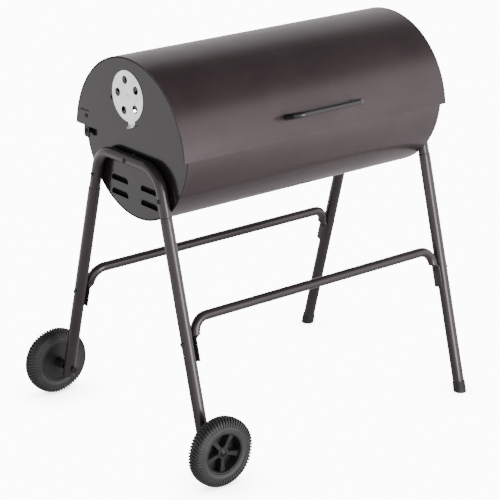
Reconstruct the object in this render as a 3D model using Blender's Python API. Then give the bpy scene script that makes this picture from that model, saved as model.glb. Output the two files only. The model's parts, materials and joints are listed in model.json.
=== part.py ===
"""Barrel charcoal grill: a half-round bowl and hinged lid on splayed tube legs with two wheels.

Metres, +Z up. +X runs along the barrel towards the foot end, -X is the wheel and damper end,
-Y is the front with the handle. The origin is on the floor under the middle of the bounding box.
"""

import math

import bmesh
import bpy
from mathutils import Matrix, Vector

# Barrel
AXIS_Z = 0.719
LID_R = 0.2155
LID_HALF = 0.397
SPLIT_Z = 0.737
BOWL_R = 0.2025
BOWL_Y = -0.0085
BOWL_Z = 0.7545
BOWL_HALF = 0.384
SHEET = 0.0015
GAP = 0.0003
FLANGE = 0.012
FOLD_R = 0.003
RIM_GAP = 0.0005
ARC_STEPS = 36
DISC_STEPS = 40

# Leg frames
LEG_X = 0.3987
LEG_TOP_Y = 0.1085
LEG_SLOPE = 0.2665
UPPER_R = 0.0132
LOWER_R = 0.0145
TUBE_WALL = 0.0011
YOKE_Z = 0.695
YOKE_BEND = 0.062
SEAM_Z = 0.5925
SLEEVE = 0.040
LEG_BOLT_Z = 0.630
TUBE_SIDES = 12
BOLT_SIDES = 10
HOLE_SIDES = 10
NUT_THICK = 0.0040
WHEEL_LEG_END_Z = 0.064
FOOT_GAP = 0.0075
CAP_R = 0.0165
CAP_FLOOR = 0.0070
CAP_TOP = 0.0270
PAD_R = 0.0085
PAD_HEIGHT = 0.0019
PAD_SIDES = 14

# Braces
BRACE_Z = 0.360
BRACE_R = 0.0115
BRACE_BEND = 0.037
BRACE_BOLT_Z = 0.310
BRACE_END_Z = 0.266
BRACE_FLAT_THICK = 0.0034
BRACE_FLAT_WIDE = 0.0142
BRACE_SIDES = 10
BRACE_FLATTENING = ((0.06, 0.60), (0.12, 1.0), (1.0, 1.0))

# Wheels
WHEEL_R = 0.084
WHEEL_X = -LEG_X
WHEEL_Y = 0.339
TYRE_HALF = 0.0190
TYRE_SHOULDER_R = WHEEL_R - 0.0055
TYRE_SIDE_R = WHEEL_R - 0.0140
TYRE_BORE = 0.0510
TYRE_BEAD_R = TYRE_BORE + 0.0035
TYRE_STEPS = 40
RIM_STEPS = 28
RIM_HALF = 0.0165
HUB_R = 0.0140
HUB_OUT = 0.0110
HUB_IN = 0.0425
HUB_SIDES = 20
SPOKES = 5
SPOKE_WIDE = 0.013
RING_BORE = 0.0450
WEB_HALF = 0.0015
AXLE_R = 0.0049
AXLE_BORE = 0.0053
AXLE_NUT_BACK = 0.0035

# Lid fittings
DAMPER_Z = 0.845
DAMPER_R = 0.060
DAMPER_THICK = 0.0012
VENTS = 5
VENT_R = 0.0098
VENT_SIDES = 16
VENT_CIRCLE = 0.038
DISC_VENT_START = 4.0
PLATE_VENT_START = 19.0
TAB_ANGLE = -104.0
TAB_WIDE = 0.025
TAB_FLAT = 0.0665
TAB_OUT = 0.011
STOP_Y = 0.0655
STOP_Z = 0.829
HANDLE_R = 0.0075
HANDLE_HALF = 0.100
HANDLE_STAND = 0.046
HANDLE_BEND = 0.015
HANDLE_ANGLE = 18.6
HANDLE_SIDES = 12

# Hinges
PIVOT_Y = 0.1783
PIVOT_Z = 0.7217
STRAP_THICK = 0.0020
STRAP_FRONT_Y = 0.1640
STRAP_BACK_Y = 0.1850
STRAP_LOW_Z = 0.7080
STRAP_TOP_Z = 0.7745
STRAP_BOLT_Y = 0.1722
STRAP_BOLT_Z = 0.7612
SLOT_Y = 0.1770
SLOT_LONG = 0.0340
SLOT_TALL = 0.0034
TAB_THICK = 0.0018
TAB_LONG = 0.0300
TAB_RECESS = 0.0009

# Louvres: two columns and two rows in each end of the bowl
LOUVRE_LONG = 0.066
LOUVRE_TALL = 0.015
LOUVRE_DEEP = 0.008
LOUVRE_OFFSET_Y = 0.058
LOUVRE_Y = 0.0
LOUVRE_ROWS = (0.5900, 0.6245)

# Grids
RAIL_TOP = 0.7145
RAIL_HALF = 0.365
RAIL_WALL_Y = 0.193
RAIL_WIDE = 0.0155
RAIL_TALL = 0.0145
GRID_THICK = 0.0045
GRID_OUTER_X = 0.372
GRID_INNER_X = 0.0020
GRID_HALF_Y = 0.1915
GRID_BAR = 0.0040
GRID_SLOTS = 11
GRATE_Z = 0.612
GRATE_THICK = 0.0035
GRATE_HALF_X = 0.367
GRATE_HALF_Y = 0.1405
GRATE_BAR = 0.0080
GRATE_SLOTS_X = 10
GRATE_SLOTS_Y = 3

# Fasteners: hole and shank radius, then head and nut (thickness, radius)
FRAME_HOLE_R = 0.0031
FRAME_SHANK_R = 0.0028
FRAME_HEAD = (0.0030, 0.0054)
FRAME_NUT = (NUT_THICK, 0.0050)
PIVOT_HOLE_R = 0.0033
PIVOT_SHANK_R = 0.0030
PIVOT_HEAD = (0.0030, 0.0056)
PIVOT_NUT = (0.0042, 0.0052)
SPACER_BORE = 0.0034
SPACER_R = 0.0062
PIVOT_SIDES = 16
STRAP_HOLE_R = 0.0028
STRAP_SHANK_R = 0.0025
STRAP_HEAD = (0.0028, 0.0052)
STRAP_NUT = (0.0036, 0.0046)
SCREW_HOLE_R = 0.0027
SCREW_SHANK_R = 0.0024
SCREW_HEAD = (0.0026, 0.0048)
SCREW_REACH = 0.0134
SCREW_BORE = 0.0140
RIVET_HOLE_R = 0.0033
RIVET_SHANK_R = 0.0030
RIVET_HEAD = (0.0016, 0.0062)
RIVET_TAIL = (0.0016, 0.0050)
STOP_HOLE_R = 0.0023
STOP_SHANK_R = 0.0020
STOP_HEAD = (0.0030, 0.0044)
STOP_TAIL = (0.0014, 0.0036)
AXLE_HEAD = (0.0045, 0.0094)
AXLE_NUT = (0.0065, 0.0085)

# Cutters reach this far through a sheet
THROUGH = 0.012

ORIGIN_X = (WHEEL_X - WHEEL_R + LEG_X + LOWER_R + GAP + NUT_THICK) / 2

LID_CENTRE = (0.0, AXIS_Z)
BOWL_CENTRE = (BOWL_Y, BOWL_Z)
LEFT = -1
RIGHT = 1
FRONT = -1
REAR = 1


# ---------------------------------------------------------------- materials
def make_material(name, colour, roughness, metallic):
    """A painted, plated or moulded finish, made once and shared."""
    if name in bpy.data.materials:
        return bpy.data.materials[name]
    material = bpy.data.materials.new(name)
    material.use_nodes = True
    shader = material.node_tree.nodes["Principled BSDF"]
    shader.inputs["Base Color"].default_value = (*colour, 1.0)
    shader.inputs["Roughness"].default_value = roughness
    shader.inputs["Metallic"].default_value = metallic
    return material


def barrel_paint():
    return make_material("barrel_paint", (0.045, 0.037, 0.038), 0.32, 0.35)


def end_paint():
    return make_material("end_paint", (0.060, 0.056, 0.056), 0.30, 0.35)


def leg_paint():
    return make_material("leg_paint", (0.038, 0.036, 0.037), 0.34, 0.30)


def handle_paint():
    return make_material("handle_paint", (0.020, 0.019, 0.020), 0.25, 0.30)


def zinc_plate():
    return make_material("zinc_plate", (0.78, 0.78, 0.77), 0.30, 1.0)


def dark_steel():
    return make_material("dark_steel", (0.14, 0.14, 0.14), 0.35, 1.0)


def bright_wire():
    return make_material("bright_wire", (0.66, 0.66, 0.65), 0.22, 1.0)


def black_grate():
    return make_material("black_grate", (0.050, 0.048, 0.047), 0.55, 0.40)


def tyre_black():
    return make_material("tyre_black", (0.020, 0.020, 0.020), 0.75, 0.0)


def hub_black():
    return make_material("hub_black", (0.018, 0.018, 0.018), 0.42, 0.0)


def cap_black():
    return make_material("cap_black", (0.022, 0.022, 0.022), 0.60, 0.0)


# ---------------------------------------------------------------- mesh helpers
def link_mesh(name, bm, material=None):
    bmesh.ops.recalc_face_normals(bm, faces=bm.faces)
    mesh = bpy.data.meshes.new(name)
    bm.to_mesh(mesh)
    bm.free()
    obj = bpy.data.objects.new(name, mesh)
    bpy.context.scene.collection.objects.link(obj)
    if material:
        mesh.materials.append(material)
    return obj


def shade(obj, sharp_angle=35.0):
    obj.data.shade_smooth()
    obj.data.set_sharp_from_angle(angle=math.radians(sharp_angle))
    return obj


def loft(rings, cap=True, closed=False):
    """A skin over rings of points. The ends are capped, or the last ring joins the first."""
    bm = bmesh.new()
    rows = [[bm.verts.new(p) for p in ring] for ring in rings]
    count = len(rows[0])
    pairs = list(zip(rows, rows[1:]))
    if closed:
        pairs.append((rows[-1], rows[0]))
    for low, high in pairs:
        for i in range(count):
            j = (i + 1) % count
            bm.faces.new((low[i], low[j], high[j], high[i]))
    if cap and not closed:
        bm.faces.new(rows[0])
        bm.faces.new(rows[-1])
    return bm


def circle(centre, side, up, r_side, r_up, count, turn=0.5):
    ring = []
    for i in range(count):
        angle = 2 * math.pi * (i + turn) / count
        ring.append(centre + side * (r_side * math.cos(angle)) + up * (r_up * math.sin(angle)))
    return ring


def frame_for(direction):
    side = direction.orthogonal().normalized()
    return side, direction.cross(side)


def rod_bm(start, end, radius, count):
    start = Vector(start)
    end = Vector(end)
    direction = (end - start).normalized()
    side, up = frame_for(direction)
    rings = [circle(p, side, up, radius, radius, count) for p in (start, end)]
    return loft(rings)


def stepped_bm(start, direction, steps, count):
    """A solid turned about a line: steps are (distance along the line, radius)."""
    start = Vector(start)
    direction = Vector(direction).normalized()
    side, up = frame_for(direction)
    rings = []
    for distance, radius in steps:
        rings.append(circle(start + direction * distance, side, up, radius, radius, count))
    return loft(rings)


def bolt_bm(start, direction, head, shank_r, grip, tail, count):
    """A bolt turned about a line: domed head, shank through the grip, nut or pressed tail."""
    head_thick, head_r = head
    tail_thick, tail_r = tail
    back = head_thick + grip
    steps = [(0, head_r * 0.60), (head_thick * 0.4, head_r * 0.92), (head_thick, head_r)]
    steps += [(head_thick, shank_r), (back, shank_r), (back, tail_r), (back + tail_thick, tail_r)]
    return stepped_bm(start, direction, steps, count)


def turned_ring_bm(centre, direction, profile, count, turn=0.5):
    """A ring turned about a line: profile is a closed outline of (distance along, radius)."""
    centre = Vector(centre)
    direction = Vector(direction).normalized()
    side, up = frame_for(direction)
    rings = []
    for i in range(count):
        angle = 2 * math.pi * (i + turn) / count
        spoke = side * math.cos(angle) + up * math.sin(angle)
        rings.append([centre + direction * along + spoke * radius for along, radius in profile])
    return loft(rings, closed=True)


def box_bm(low, high):
    x0, y0, z0 = low
    x1, y1, z1 = high
    bottom = [(x0, y0, z0), (x1, y0, z0), (x1, y1, z0), (x0, y1, z0)]
    top = [(x, y, z1) for x, y, z in ((x0, y0, 0), (x1, y0, 0), (x1, y1, 0), (x0, y1, 0))]
    return loft([bottom, top])


def prism_x_bm(outline, x0, x1):
    """An outline of (y, z) points pushed along X."""
    return loft([[(x0, y, z) for y, z in outline], [(x1, y, z) for y, z in outline]])


def merge_bm(parts):
    """Separate solids collected in one mesh, for a cutter."""
    merged = bmesh.new()
    for part in parts:
        mesh = bpy.data.meshes.new("part")
        bmesh.ops.recalc_face_normals(part, faces=part.faces)
        part.to_mesh(mesh)
        part.free()
        merged.from_mesh(mesh)
        bpy.data.meshes.remove(mesh)
    return merged


def guide(name, bm):
    obj = link_mesh(name, bm)
    obj.hide_render = True
    obj.display_type = "WIRE"
    return obj


def combine(obj, bm, operation, name):
    """A Boolean of obj with the solid in bm."""
    tool = guide(f"{obj.name}_{name}", bm)
    tool.parent = obj.parent
    modifier = obj.modifiers.new(name, "BOOLEAN")
    modifier.operation = operation
    modifier.solver = "EXACT"
    modifier.object = tool
    return obj


def cut(obj, parts, name="cut"):
    return combine(obj, merge_bm(parts), "DIFFERENCE", name)


def join(obj, parts, name="join"):
    return combine(obj, merge_bm(parts), "UNION", name)


def hole(point, direction, length, radius, count):
    """A cutting rod centred on a point."""
    half = Vector(direction).normalized() * (length / 2)
    return rod_bm(Vector(point) - half, Vector(point) + half, radius, count)


# ---------------------------------------------------------------- paths
def arc_points(corner, incoming, outgoing, radius, steps):
    """Points and tangents round a corner with a bend radius."""
    turn = incoming.angle(outgoing)
    reach = radius * math.tan(turn / 2)
    normal = incoming.cross(outgoing).normalized()
    inward = normal.cross(incoming)
    centre = corner - incoming * reach + inward * radius
    points = []
    for i in range(steps + 1):
        spin = Matrix.Rotation(turn * i / steps, 3, normal)
        points.append((centre - spin @ inward * radius, spin @ incoming))
    return points


def sweep_rings(stations, normal, count, shrink=0.0):
    """Rings along (point, tangent, radius across the plane, radius in the plane) stations."""
    rings = []
    for point, tangent, across, within in stations:
        side = tangent.cross(normal).normalized()
        rings.append(circle(point, normal, side, across - shrink, within - shrink, count))
    return rings


def tube_bm(stations, normal, count, wall):
    """A tube open at both ends, swept along its stations."""
    outer = sweep_rings(stations, normal, count)
    inner = sweep_rings(stations, normal, count, wall)
    bm = bmesh.new()
    out_rows = [[bm.verts.new(p) for p in ring] for ring in outer]
    in_rows = [[bm.verts.new(p) for p in ring] for ring in inner]
    for i in range(count):
        j = (i + 1) % count
        for low, high in zip(out_rows, out_rows[1:]):
            bm.faces.new((low[i], low[j], high[j], high[i]))
        for low, high in zip(in_rows, in_rows[1:]):
            bm.faces.new((low[j], low[i], high[i], high[j]))
        for end in (0, -1):
            bm.faces.new((out_rows[end][i], out_rows[end][j], in_rows[end][j], in_rows[end][i]))
    return bm


# ---------------------------------------------------------------- places
def leg_y(z):
    return LEG_TOP_Y + LEG_SLOPE * (AXIS_Z - z)


def leg_point(end, side, z):
    return Vector((end * LEG_X, side * leg_y(z), z))


def leg_down(side):
    return Vector((0, side * LEG_SLOPE, -1)).normalized()


def end_name(end):
    return "left" if end == LEFT else "right"


def side_name(side):
    return "front" if side == FRONT else "rear"


def frame_bolt_points(end):
    """Where the yoke is bolted to the bowl: the top and both legs."""
    return [
        Vector((end * LEG_X, 0, YOKE_Z)),
        leg_point(end, FRONT, LEG_BOLT_Z),
        leg_point(end, REAR, LEG_BOLT_Z),
    ]


def handle_direction():
    angle = math.radians(HANDLE_ANGLE)
    return Vector((0, -math.cos(angle), math.sin(angle)))


def lid_surface_point(x):
    return Vector((x, 0, AXIS_Z)) + handle_direction() * LID_R


def vent_points(start_angle):
    points = []
    for i in range(VENTS):
        angle = math.radians(start_angle + 360.0 * i / VENTS)
        y = VENT_CIRCLE * math.cos(angle)
        z = DAMPER_Z + VENT_CIRCLE * math.sin(angle)
        points.append((y, z))
    return points


# ---------------------------------------------------------------- barrel parts
def curved_sheet(name, centre, radius, half, first, last, material):
    """A curved sheet between two angles about a line along X."""
    cy, cz = centre
    low = radius - SHEET
    rings = []
    for i in range(ARC_STEPS + 1):
        angle = first + (last - first) * i / ARC_STEPS
        ring = []
        for x, r in ((-half, radius), (half, radius), (half, low), (-half, low)):
            ring.append((x, cy + r * math.cos(angle), cz + r * math.sin(angle)))
        rings.append(ring)
    return shade(link_mesh(name, loft(rings), material))


def end_pan(name, end, centre, radius, half, keep_above, material):
    """A flat end with a folded flange, cut off at the split line."""
    cy, cz = centre
    rim = radius - SHEET - RIM_GAP
    fold = FOLD_R
    inner_fold = FOLD_R - SHEET
    outline = [(0.0, 0.0), (0.0, rim - fold), (fold * 0.3, rim - fold * 0.3), (fold, rim), (FLANGE, rim)]
    outline += [(FLANGE, rim - SHEET), (fold, rim - SHEET)]
    outline += [(SHEET + inner_fold * 0.3, rim - SHEET - inner_fold * 0.3), (SHEET, rim - fold), (SHEET, 0.0)]
    bm = bmesh.new()
    face_x = end * half
    rows = []
    for depth, r in outline:
        x = face_x - end * depth
        if r == 0.0:
            rows.append([bm.verts.new((x, cy, cz))])
            continue
        row = []
        for i in range(DISC_STEPS):
            angle = 2 * math.pi * i / DISC_STEPS
            row.append(bm.verts.new((x, cy + r * math.cos(angle), cz + r * math.sin(angle))))
        rows.append(row)
    for low, high in zip(rows, rows[1:]):
        for i in range(DISC_STEPS):
            j = (i + 1) % DISC_STEPS
            if len(low) == 1:
                bm.faces.new((low[0], high[i], high[j]))
            elif len(high) == 1:
                bm.faces.new((low[i], high[0], low[j]))
            else:
                bm.faces.new((low[i], high[i], high[j], low[j]))
    obj = link_mesh(name, bm, material)
    near = SPLIT_Z - radius * 2.5
    far = SPLIT_Z + radius * 2.5
    low_z, high_z = (near, SPLIT_Z) if keep_above else (SPLIT_Z, far)
    block = box_bm((face_x - 0.05, -radius * 1.5, low_z), (face_x + 0.05, radius * 1.5, high_z))
    cut(obj, [block], "split")
    return shade(obj)


def lid_shell():
    rise = math.asin((SPLIT_Z - AXIS_Z) / LID_R)
    obj = curved_sheet("lid_shell", LID_CENTRE, LID_R, LID_HALF, rise, math.pi - rise, barrel_paint())
    holes = []
    for x in (-HANDLE_HALF, HANDLE_HALF):
        holes.append(hole(lid_surface_point(x), handle_direction(), THROUGH, SCREW_HOLE_R, HOLE_SIDES))
    return cut(obj, holes, "handle_holes")


def bowl_shell():
    drop = math.asin((BOWL_Z - SPLIT_Z) / BOWL_R)
    first = math.pi + drop
    last = 2 * math.pi - drop
    return curved_sheet("bowl_shell", BOWL_CENTRE, BOWL_R, BOWL_HALF, first, last, barrel_paint())


def strap_slot_centre(end):
    return Vector((end * (LID_HALF - SHEET / 2), SLOT_Y, STRAP_TOP_Z))


def lid_end(end):
    obj = end_pan(f"lid_end_{end_name(end)}", end, LID_CENTRE, LID_R, LID_HALF, True, end_paint())
    plate_x = end * (LID_HALF - SHEET / 2)
    centre = strap_slot_centre(end)
    half = Vector((0.006, SLOT_LONG / 2, SLOT_TALL / 2))
    openings = [box_bm(centre - half, centre + half)]
    along = (1, 0, 0)
    strap_hole = (plate_x, STRAP_BOLT_Y, STRAP_BOLT_Z)
    openings.append(hole(strap_hole, along, THROUGH, STRAP_HOLE_R, HOLE_SIDES))
    if end == LEFT:
        for y, z in vent_points(PLATE_VENT_START):
            openings.append(hole((plate_x, y, z), along, THROUGH, VENT_R, VENT_SIDES))
        openings.append(hole((plate_x, 0, DAMPER_Z), along, THROUGH, RIVET_HOLE_R, HOLE_SIDES))
        openings.append(hole((plate_x, STOP_Y, STOP_Z), along, THROUGH, STOP_HOLE_R, HOLE_SIDES))
    return cut(obj, openings, "openings")


def louvre_outline(y, z, grow):
    """A slot with a straight lower edge and rounded upper corners."""
    half = LOUVRE_LONG / 2 + grow
    top = z + LOUVRE_TALL + grow
    corner = LOUVRE_TALL * 0.75
    points = [(y - half, z)]
    for i in range(3):
        angle = math.pi - math.pi / 2 * i / 2
        points.append((y - half + corner + corner * math.cos(angle), top - corner + corner * math.sin(angle)))
    for i in range(3):
        angle = math.pi / 2 - math.pi / 2 * i / 2
        points.append((y + half - corner + corner * math.cos(angle), top - corner + corner * math.sin(angle)))
    points.append((y + half, z))
    return points


def louvre_wedge(end, y, z, grow, depth, start):
    """The outline pushed inwards to a slope: nothing at the top, full depth at the bottom."""
    plate_x = end * BOWL_HALF
    outline = louvre_outline(y, z, grow)
    top = z + LOUVRE_TALL + grow
    outer = [(plate_x - end * start, py, pz) for py, pz in outline]
    inner = []
    for py, pz in outline:
        slope = (top - pz) / (LOUVRE_TALL + grow)
        inner.append((plate_x - end * (SHEET * 0.9 + depth * slope), py, pz))
    return loft([outer, inner])


def bowl_end(end):
    obj = end_pan(f"bowl_end_{end_name(end)}", end, BOWL_CENTRE, BOWL_R, BOWL_HALF, False, end_paint())
    pads = []
    openings = []
    for point in frame_bolt_points(end):
        start = Vector((end * (BOWL_HALF - SHEET / 2), point.y, point.z))
        out = Vector((end, 0, 0))
        steps = [(0, PAD_R * 1.3), (SHEET / 2, PAD_R * 1.25), (PAD_HEIGHT, PAD_R * 0.8)]
        pads.append(stepped_bm(start, out, steps, PAD_SIDES))
        openings.append(hole(start, out, THROUGH * 2, FRAME_HOLE_R, HOLE_SIDES))
    openings.append(hole((end * BOWL_HALF, PIVOT_Y, PIVOT_Z), (1, 0, 0), THROUGH, PIVOT_HOLE_R, HOLE_SIDES))
    for z in LOUVRE_ROWS:
        for side in (FRONT, REAR):
            y = LOUVRE_Y + side * LOUVRE_OFFSET_Y
            pads.append(louvre_wedge(end, y, z, SHEET, LOUVRE_DEEP + SHEET, SHEET * 0.5))
    for z in LOUVRE_ROWS:
        for side in (FRONT, REAR):
            y = LOUVRE_Y + side * LOUVRE_OFFSET_Y
            openings.append(louvre_void(end, y, z))
    join(obj, pads, "pads")
    return cut(obj, openings, "openings")


def louvre_void(end, y, z):
    """The air passage: through the sheet at the slot and out under the hood."""
    plate_x = end * BOWL_HALF
    top = z + LOUVRE_TALL
    outline = louvre_outline(y, z, 0.0)
    below = 0.004
    outer = []
    inner = []
    for py, pz in outline:
        slope = (top - pz) / LOUVRE_TALL
        outer.append((plate_x + end * 0.004, py, pz))
        inner.append((plate_x - end * (LOUVRE_DEEP * slope - 0.0002), py, pz))
    solid = loft([outer, inner])
    low = z - below
    near = plate_x - end * (SHEET + 0.0001)
    far = plate_x - end * (LOUVRE_DEEP - 0.0002)
    half = LOUVRE_LONG / 2
    x0 = min(near, far)
    x1 = max(near, far)
    mouth = box_bm((x0, y - half, low), (x1, y + half, z + 0.0004))
    return fused(solid, mouth)


def fused(first, second):
    """One closed solid made from two that overlap."""
    base = link_mesh("base", first)
    extra = link_mesh("extra", second)
    modifier = base.modifiers.new("fuse", "BOOLEAN")
    modifier.operation = "UNION"
    modifier.solver = "EXACT"
    modifier.object = extra
    graph = bpy.context.evaluated_depsgraph_get()
    bm = bmesh.new()
    bm.from_object(base, graph)
    for obj in (base, extra):
        mesh = obj.data
        bpy.data.objects.remove(obj)
        bpy.data.meshes.remove(mesh)
    return bm


# ---------------------------------------------------------------- lid fittings
def damper_disc():
    back = -LID_HALF - GAP
    front = back - DAMPER_THICK
    outline = []
    for i in range(DISC_STEPS):
        angle = 2 * math.pi * i / DISC_STEPS
        outline.append((DAMPER_R * math.cos(angle), DAMPER_Z + DAMPER_R * math.sin(angle)))
    obj = link_mesh("damper_disc", prism_x_bm(outline, front, back), zinc_plate())
    angle = math.radians(TAB_ANGLE)
    along = Vector((0, math.cos(angle), math.sin(angle)))
    side = Vector((0, -math.sin(angle), math.cos(angle)))
    centre = Vector((0, 0, DAMPER_Z))
    rings = []
    stations = (
        (DAMPER_R - 0.008, 0.0, 1.12, 0.0),
        (TAB_FLAT - 0.002, 0.0, 1.0, 0.0),
        (TAB_FLAT + 0.001, 0.0012, 1.0, 0.5),
        (TAB_FLAT + 0.0065, 0.0075, 0.94, 0.9),
        (TAB_FLAT + 0.0088, TAB_OUT, 0.70, 0.9),
    )
    for reach, lift, wide, lean in stations:
        half = side * (TAB_WIDE / 2 * wide)
        low = centre + along * reach + Vector((back - lift, 0, 0))
        skin = Vector((-DAMPER_THICK * (1 - 0.3 * lean), 0, 0)) - along * (DAMPER_THICK * 0.7 * lean)
        rings.append([low - half, low + half, low + half + skin, low - half + skin])
    join(obj, [loft(rings)], "tab")
    holes = []
    middle = (front + back) / 2
    for y, z in vent_points(DISC_VENT_START):
        holes.append(hole((middle, y, z), (1, 0, 0), THROUGH, VENT_R, VENT_SIDES))
    holes.append(hole((middle, 0, DAMPER_Z), (1, 0, 0), THROUGH, RIVET_HOLE_R, VENT_SIDES))
    cut(obj, holes, "holes")
    return shade(obj)


def damper_rivet():
    """Holds the disc to the lid end: a low head outside, a pressed tail inside."""
    start = Vector((-LID_HALF - GAP - DAMPER_THICK - GAP - RIVET_HEAD[0], 0, DAMPER_Z))
    grip = GAP + DAMPER_THICK + GAP + SHEET + GAP
    bm = bolt_bm(start, (1, 0, 0), RIVET_HEAD, RIVET_SHANK_R, grip, RIVET_TAIL, VENT_SIDES)
    return shade(link_mesh("damper_rivet", bm, zinc_plate()))


def damper_stop():
    """The pin the damper's tab comes up against."""
    start = Vector((-LID_HALF - GAP - STOP_HEAD[0], STOP_Y, STOP_Z))
    grip = GAP + SHEET + GAP
    bm = bolt_bm(start, (1, 0, 0), STOP_HEAD, STOP_SHANK_R, grip, STOP_TAIL, BOLT_SIDES)
    return shade(link_mesh("damper_stop", bm, dark_steel()))


def handle():
    out = handle_direction()
    along = Vector((1, 0, 0))
    normal = along.cross(out)
    stations = []
    foot = lid_surface_point(-HANDLE_HALF) + out * GAP
    corner = lid_surface_point(-HANDLE_HALF) + out * HANDLE_STAND
    stations.append((foot, out))
    stations += arc_points(corner, out, along, HANDLE_BEND, 5)
    corner = lid_surface_point(HANDLE_HALF) + out * HANDLE_STAND
    stations += arc_points(corner, along, -out, HANDLE_BEND, 5)
    foot = lid_surface_point(HANDLE_HALF) + out * GAP
    stations.append((foot, -out))
    full = [(point, tangent, HANDLE_R, HANDLE_R) for point, tangent in stations]
    obj = link_mesh("handle", loft(sweep_rings(full, normal, HANDLE_SIDES)), handle_paint())
    holes = []
    for x in (-HANDLE_HALF, HANDLE_HALF):
        holes.append(hole(lid_surface_point(x), out, SCREW_BORE * 2, SCREW_HOLE_R, HOLE_SIDES))
    cut(obj, holes, "screw_holes")
    return shade(obj)


def handle_screw(end):
    """A screw from inside the lid into the end of the handle."""
    out = handle_direction()
    head_thick, head_r = SCREW_HEAD
    start = lid_surface_point(end * HANDLE_HALF) - out * (SHEET + GAP + head_thick)
    steps = [(0, head_r * 0.7), (head_thick * 0.3, head_r), (head_thick, head_r)]
    steps += [(head_thick, SCREW_SHANK_R), (head_thick + SCREW_REACH, SCREW_SHANK_R)]
    name = f"handle_screw_{end_name(end)}"
    return shade(link_mesh(name, stepped_bm(start, out, steps, BOLT_SIDES), dark_steel()))


# ---------------------------------------------------------------- hinges
def hinge_strap(end):
    """A strap fixed inside the lid end, hanging down to the pivot bolt on the bowl."""
    outer = end * (LID_HALF - SHEET - GAP)
    inner = end * (LID_HALF - SHEET - GAP - STRAP_THICK)
    corner = 0.005
    y0, y1 = STRAP_FRONT_Y, STRAP_BACK_Y
    z0 = STRAP_LOW_Z
    z1 = STRAP_TOP_Z + TAB_THICK / 2
    outline = [(y0 + corner, z0), (y1 - corner, z0), (y1 - corner * 0.3, z0 + corner * 0.3)]
    outline += [(y1, z0 + corner), (y1, z1), (y0, z1), (y0, z0 + corner)]
    outline += [(y0 + corner * 0.3, z0 + corner * 0.3)]
    obj = link_mesh(f"hinge_strap_{end_name(end)}", prism_x_bm(outline, outer, inner), dark_steel())
    tab_x = end * (LID_HALF - TAB_RECESS)
    x0 = min(tab_x, inner)
    x1 = max(tab_x, inner)
    low = (x0, SLOT_Y - TAB_LONG / 2, STRAP_TOP_Z - TAB_THICK / 2)
    high = (x1, SLOT_Y + TAB_LONG / 2, z1)
    join(obj, [box_bm(low, high)], "tab")
    x = (outer + inner) / 2
    holes = [hole((x, PIVOT_Y, PIVOT_Z), (1, 0, 0), THROUGH, PIVOT_HOLE_R, HOLE_SIDES)]
    holes.append(hole((x, STRAP_BOLT_Y, STRAP_BOLT_Z), (1, 0, 0), THROUGH, STRAP_HOLE_R, HOLE_SIDES))
    cut(obj, holes, "holes")
    return shade(obj)


def strap_bolt(end):
    """Clamps the strap to the lid end, with its nut inside."""
    start = Vector((end * (LID_HALF + GAP + STRAP_HEAD[0]), STRAP_BOLT_Y, STRAP_BOLT_Z))
    grip = GAP + SHEET + GAP + STRAP_THICK + GAP
    bm = bolt_bm(start, (-end, 0, 0), STRAP_HEAD, STRAP_SHANK_R, grip, STRAP_NUT, BOLT_SIDES)
    return shade(link_mesh(f"strap_bolt_{end_name(end)}", bm, dark_steel()))


def pivot_bolt(end):
    """The hinge pin: head outside the strap, nut inside the bowl."""
    strap_face = LID_HALF - SHEET - GAP
    start = Vector((end * (strap_face + GAP + PIVOT_HEAD[0]), PIVOT_Y, PIVOT_Z))
    grip = GAP + (strap_face - BOWL_HALF) + SHEET + GAP
    bm = bolt_bm(start, (-end, 0, 0), PIVOT_HEAD, PIVOT_SHANK_R, grip, PIVOT_NUT, PIVOT_SIDES)
    return shade(link_mesh(f"pivot_bolt_{end_name(end)}", bm, dark_steel()))


def pivot_spacer(end):
    """The sleeve that holds the strap clear of the bowl."""
    near = BOWL_HALF + GAP
    far = LID_HALF - SHEET - GAP - STRAP_THICK - GAP
    profile = [(end * near, SPACER_BORE), (end * far, SPACER_BORE)]
    profile += [(end * far, SPACER_R), (end * near, SPACER_R)]
    bm = turned_ring_bm((0, PIVOT_Y, PIVOT_Z), (1, 0, 0), profile, PIVOT_SIDES)
    return shade(link_mesh(f"pivot_spacer_{end_name(end)}", bm, dark_steel()))


# ---------------------------------------------------------------- legs
def yoke(end):
    """The upside-down U of tube bolted to one end of the bowl."""
    normal = Vector((1, 0, 0))
    top = Vector((end * LEG_X, 0, YOKE_Z))
    corner_y = leg_y(YOKE_Z)
    front_corner = Vector((top.x, -corner_y, YOKE_Z))
    rear_corner = Vector((top.x, corner_y, YOKE_Z))
    up_front = -leg_down(FRONT)
    low_z = SEAM_Z - SLEEVE
    stations = [(leg_point(end, FRONT, low_z), up_front)]
    stations += arc_points(front_corner, up_front, Vector((0, 1, 0)), YOKE_BEND, 5)
    stations += arc_points(rear_corner, Vector((0, 1, 0)), leg_down(REAR), YOKE_BEND, 5)
    stations.append((leg_point(end, REAR, low_z), leg_down(REAR)))
    full = [(point, tangent, UPPER_R, UPPER_R) for point, tangent in stations]
    obj = link_mesh(f"yoke_{end_name(end)}", tube_bm(full, normal, TUBE_SIDES, TUBE_WALL), leg_paint())
    holes = [hole(p, (1, 0, 0), LOWER_R * 3, FRAME_HOLE_R, HOLE_SIDES) for p in frame_bolt_points(end)]
    cut(obj, holes, "bolt_holes")
    return shade(obj)


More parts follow.
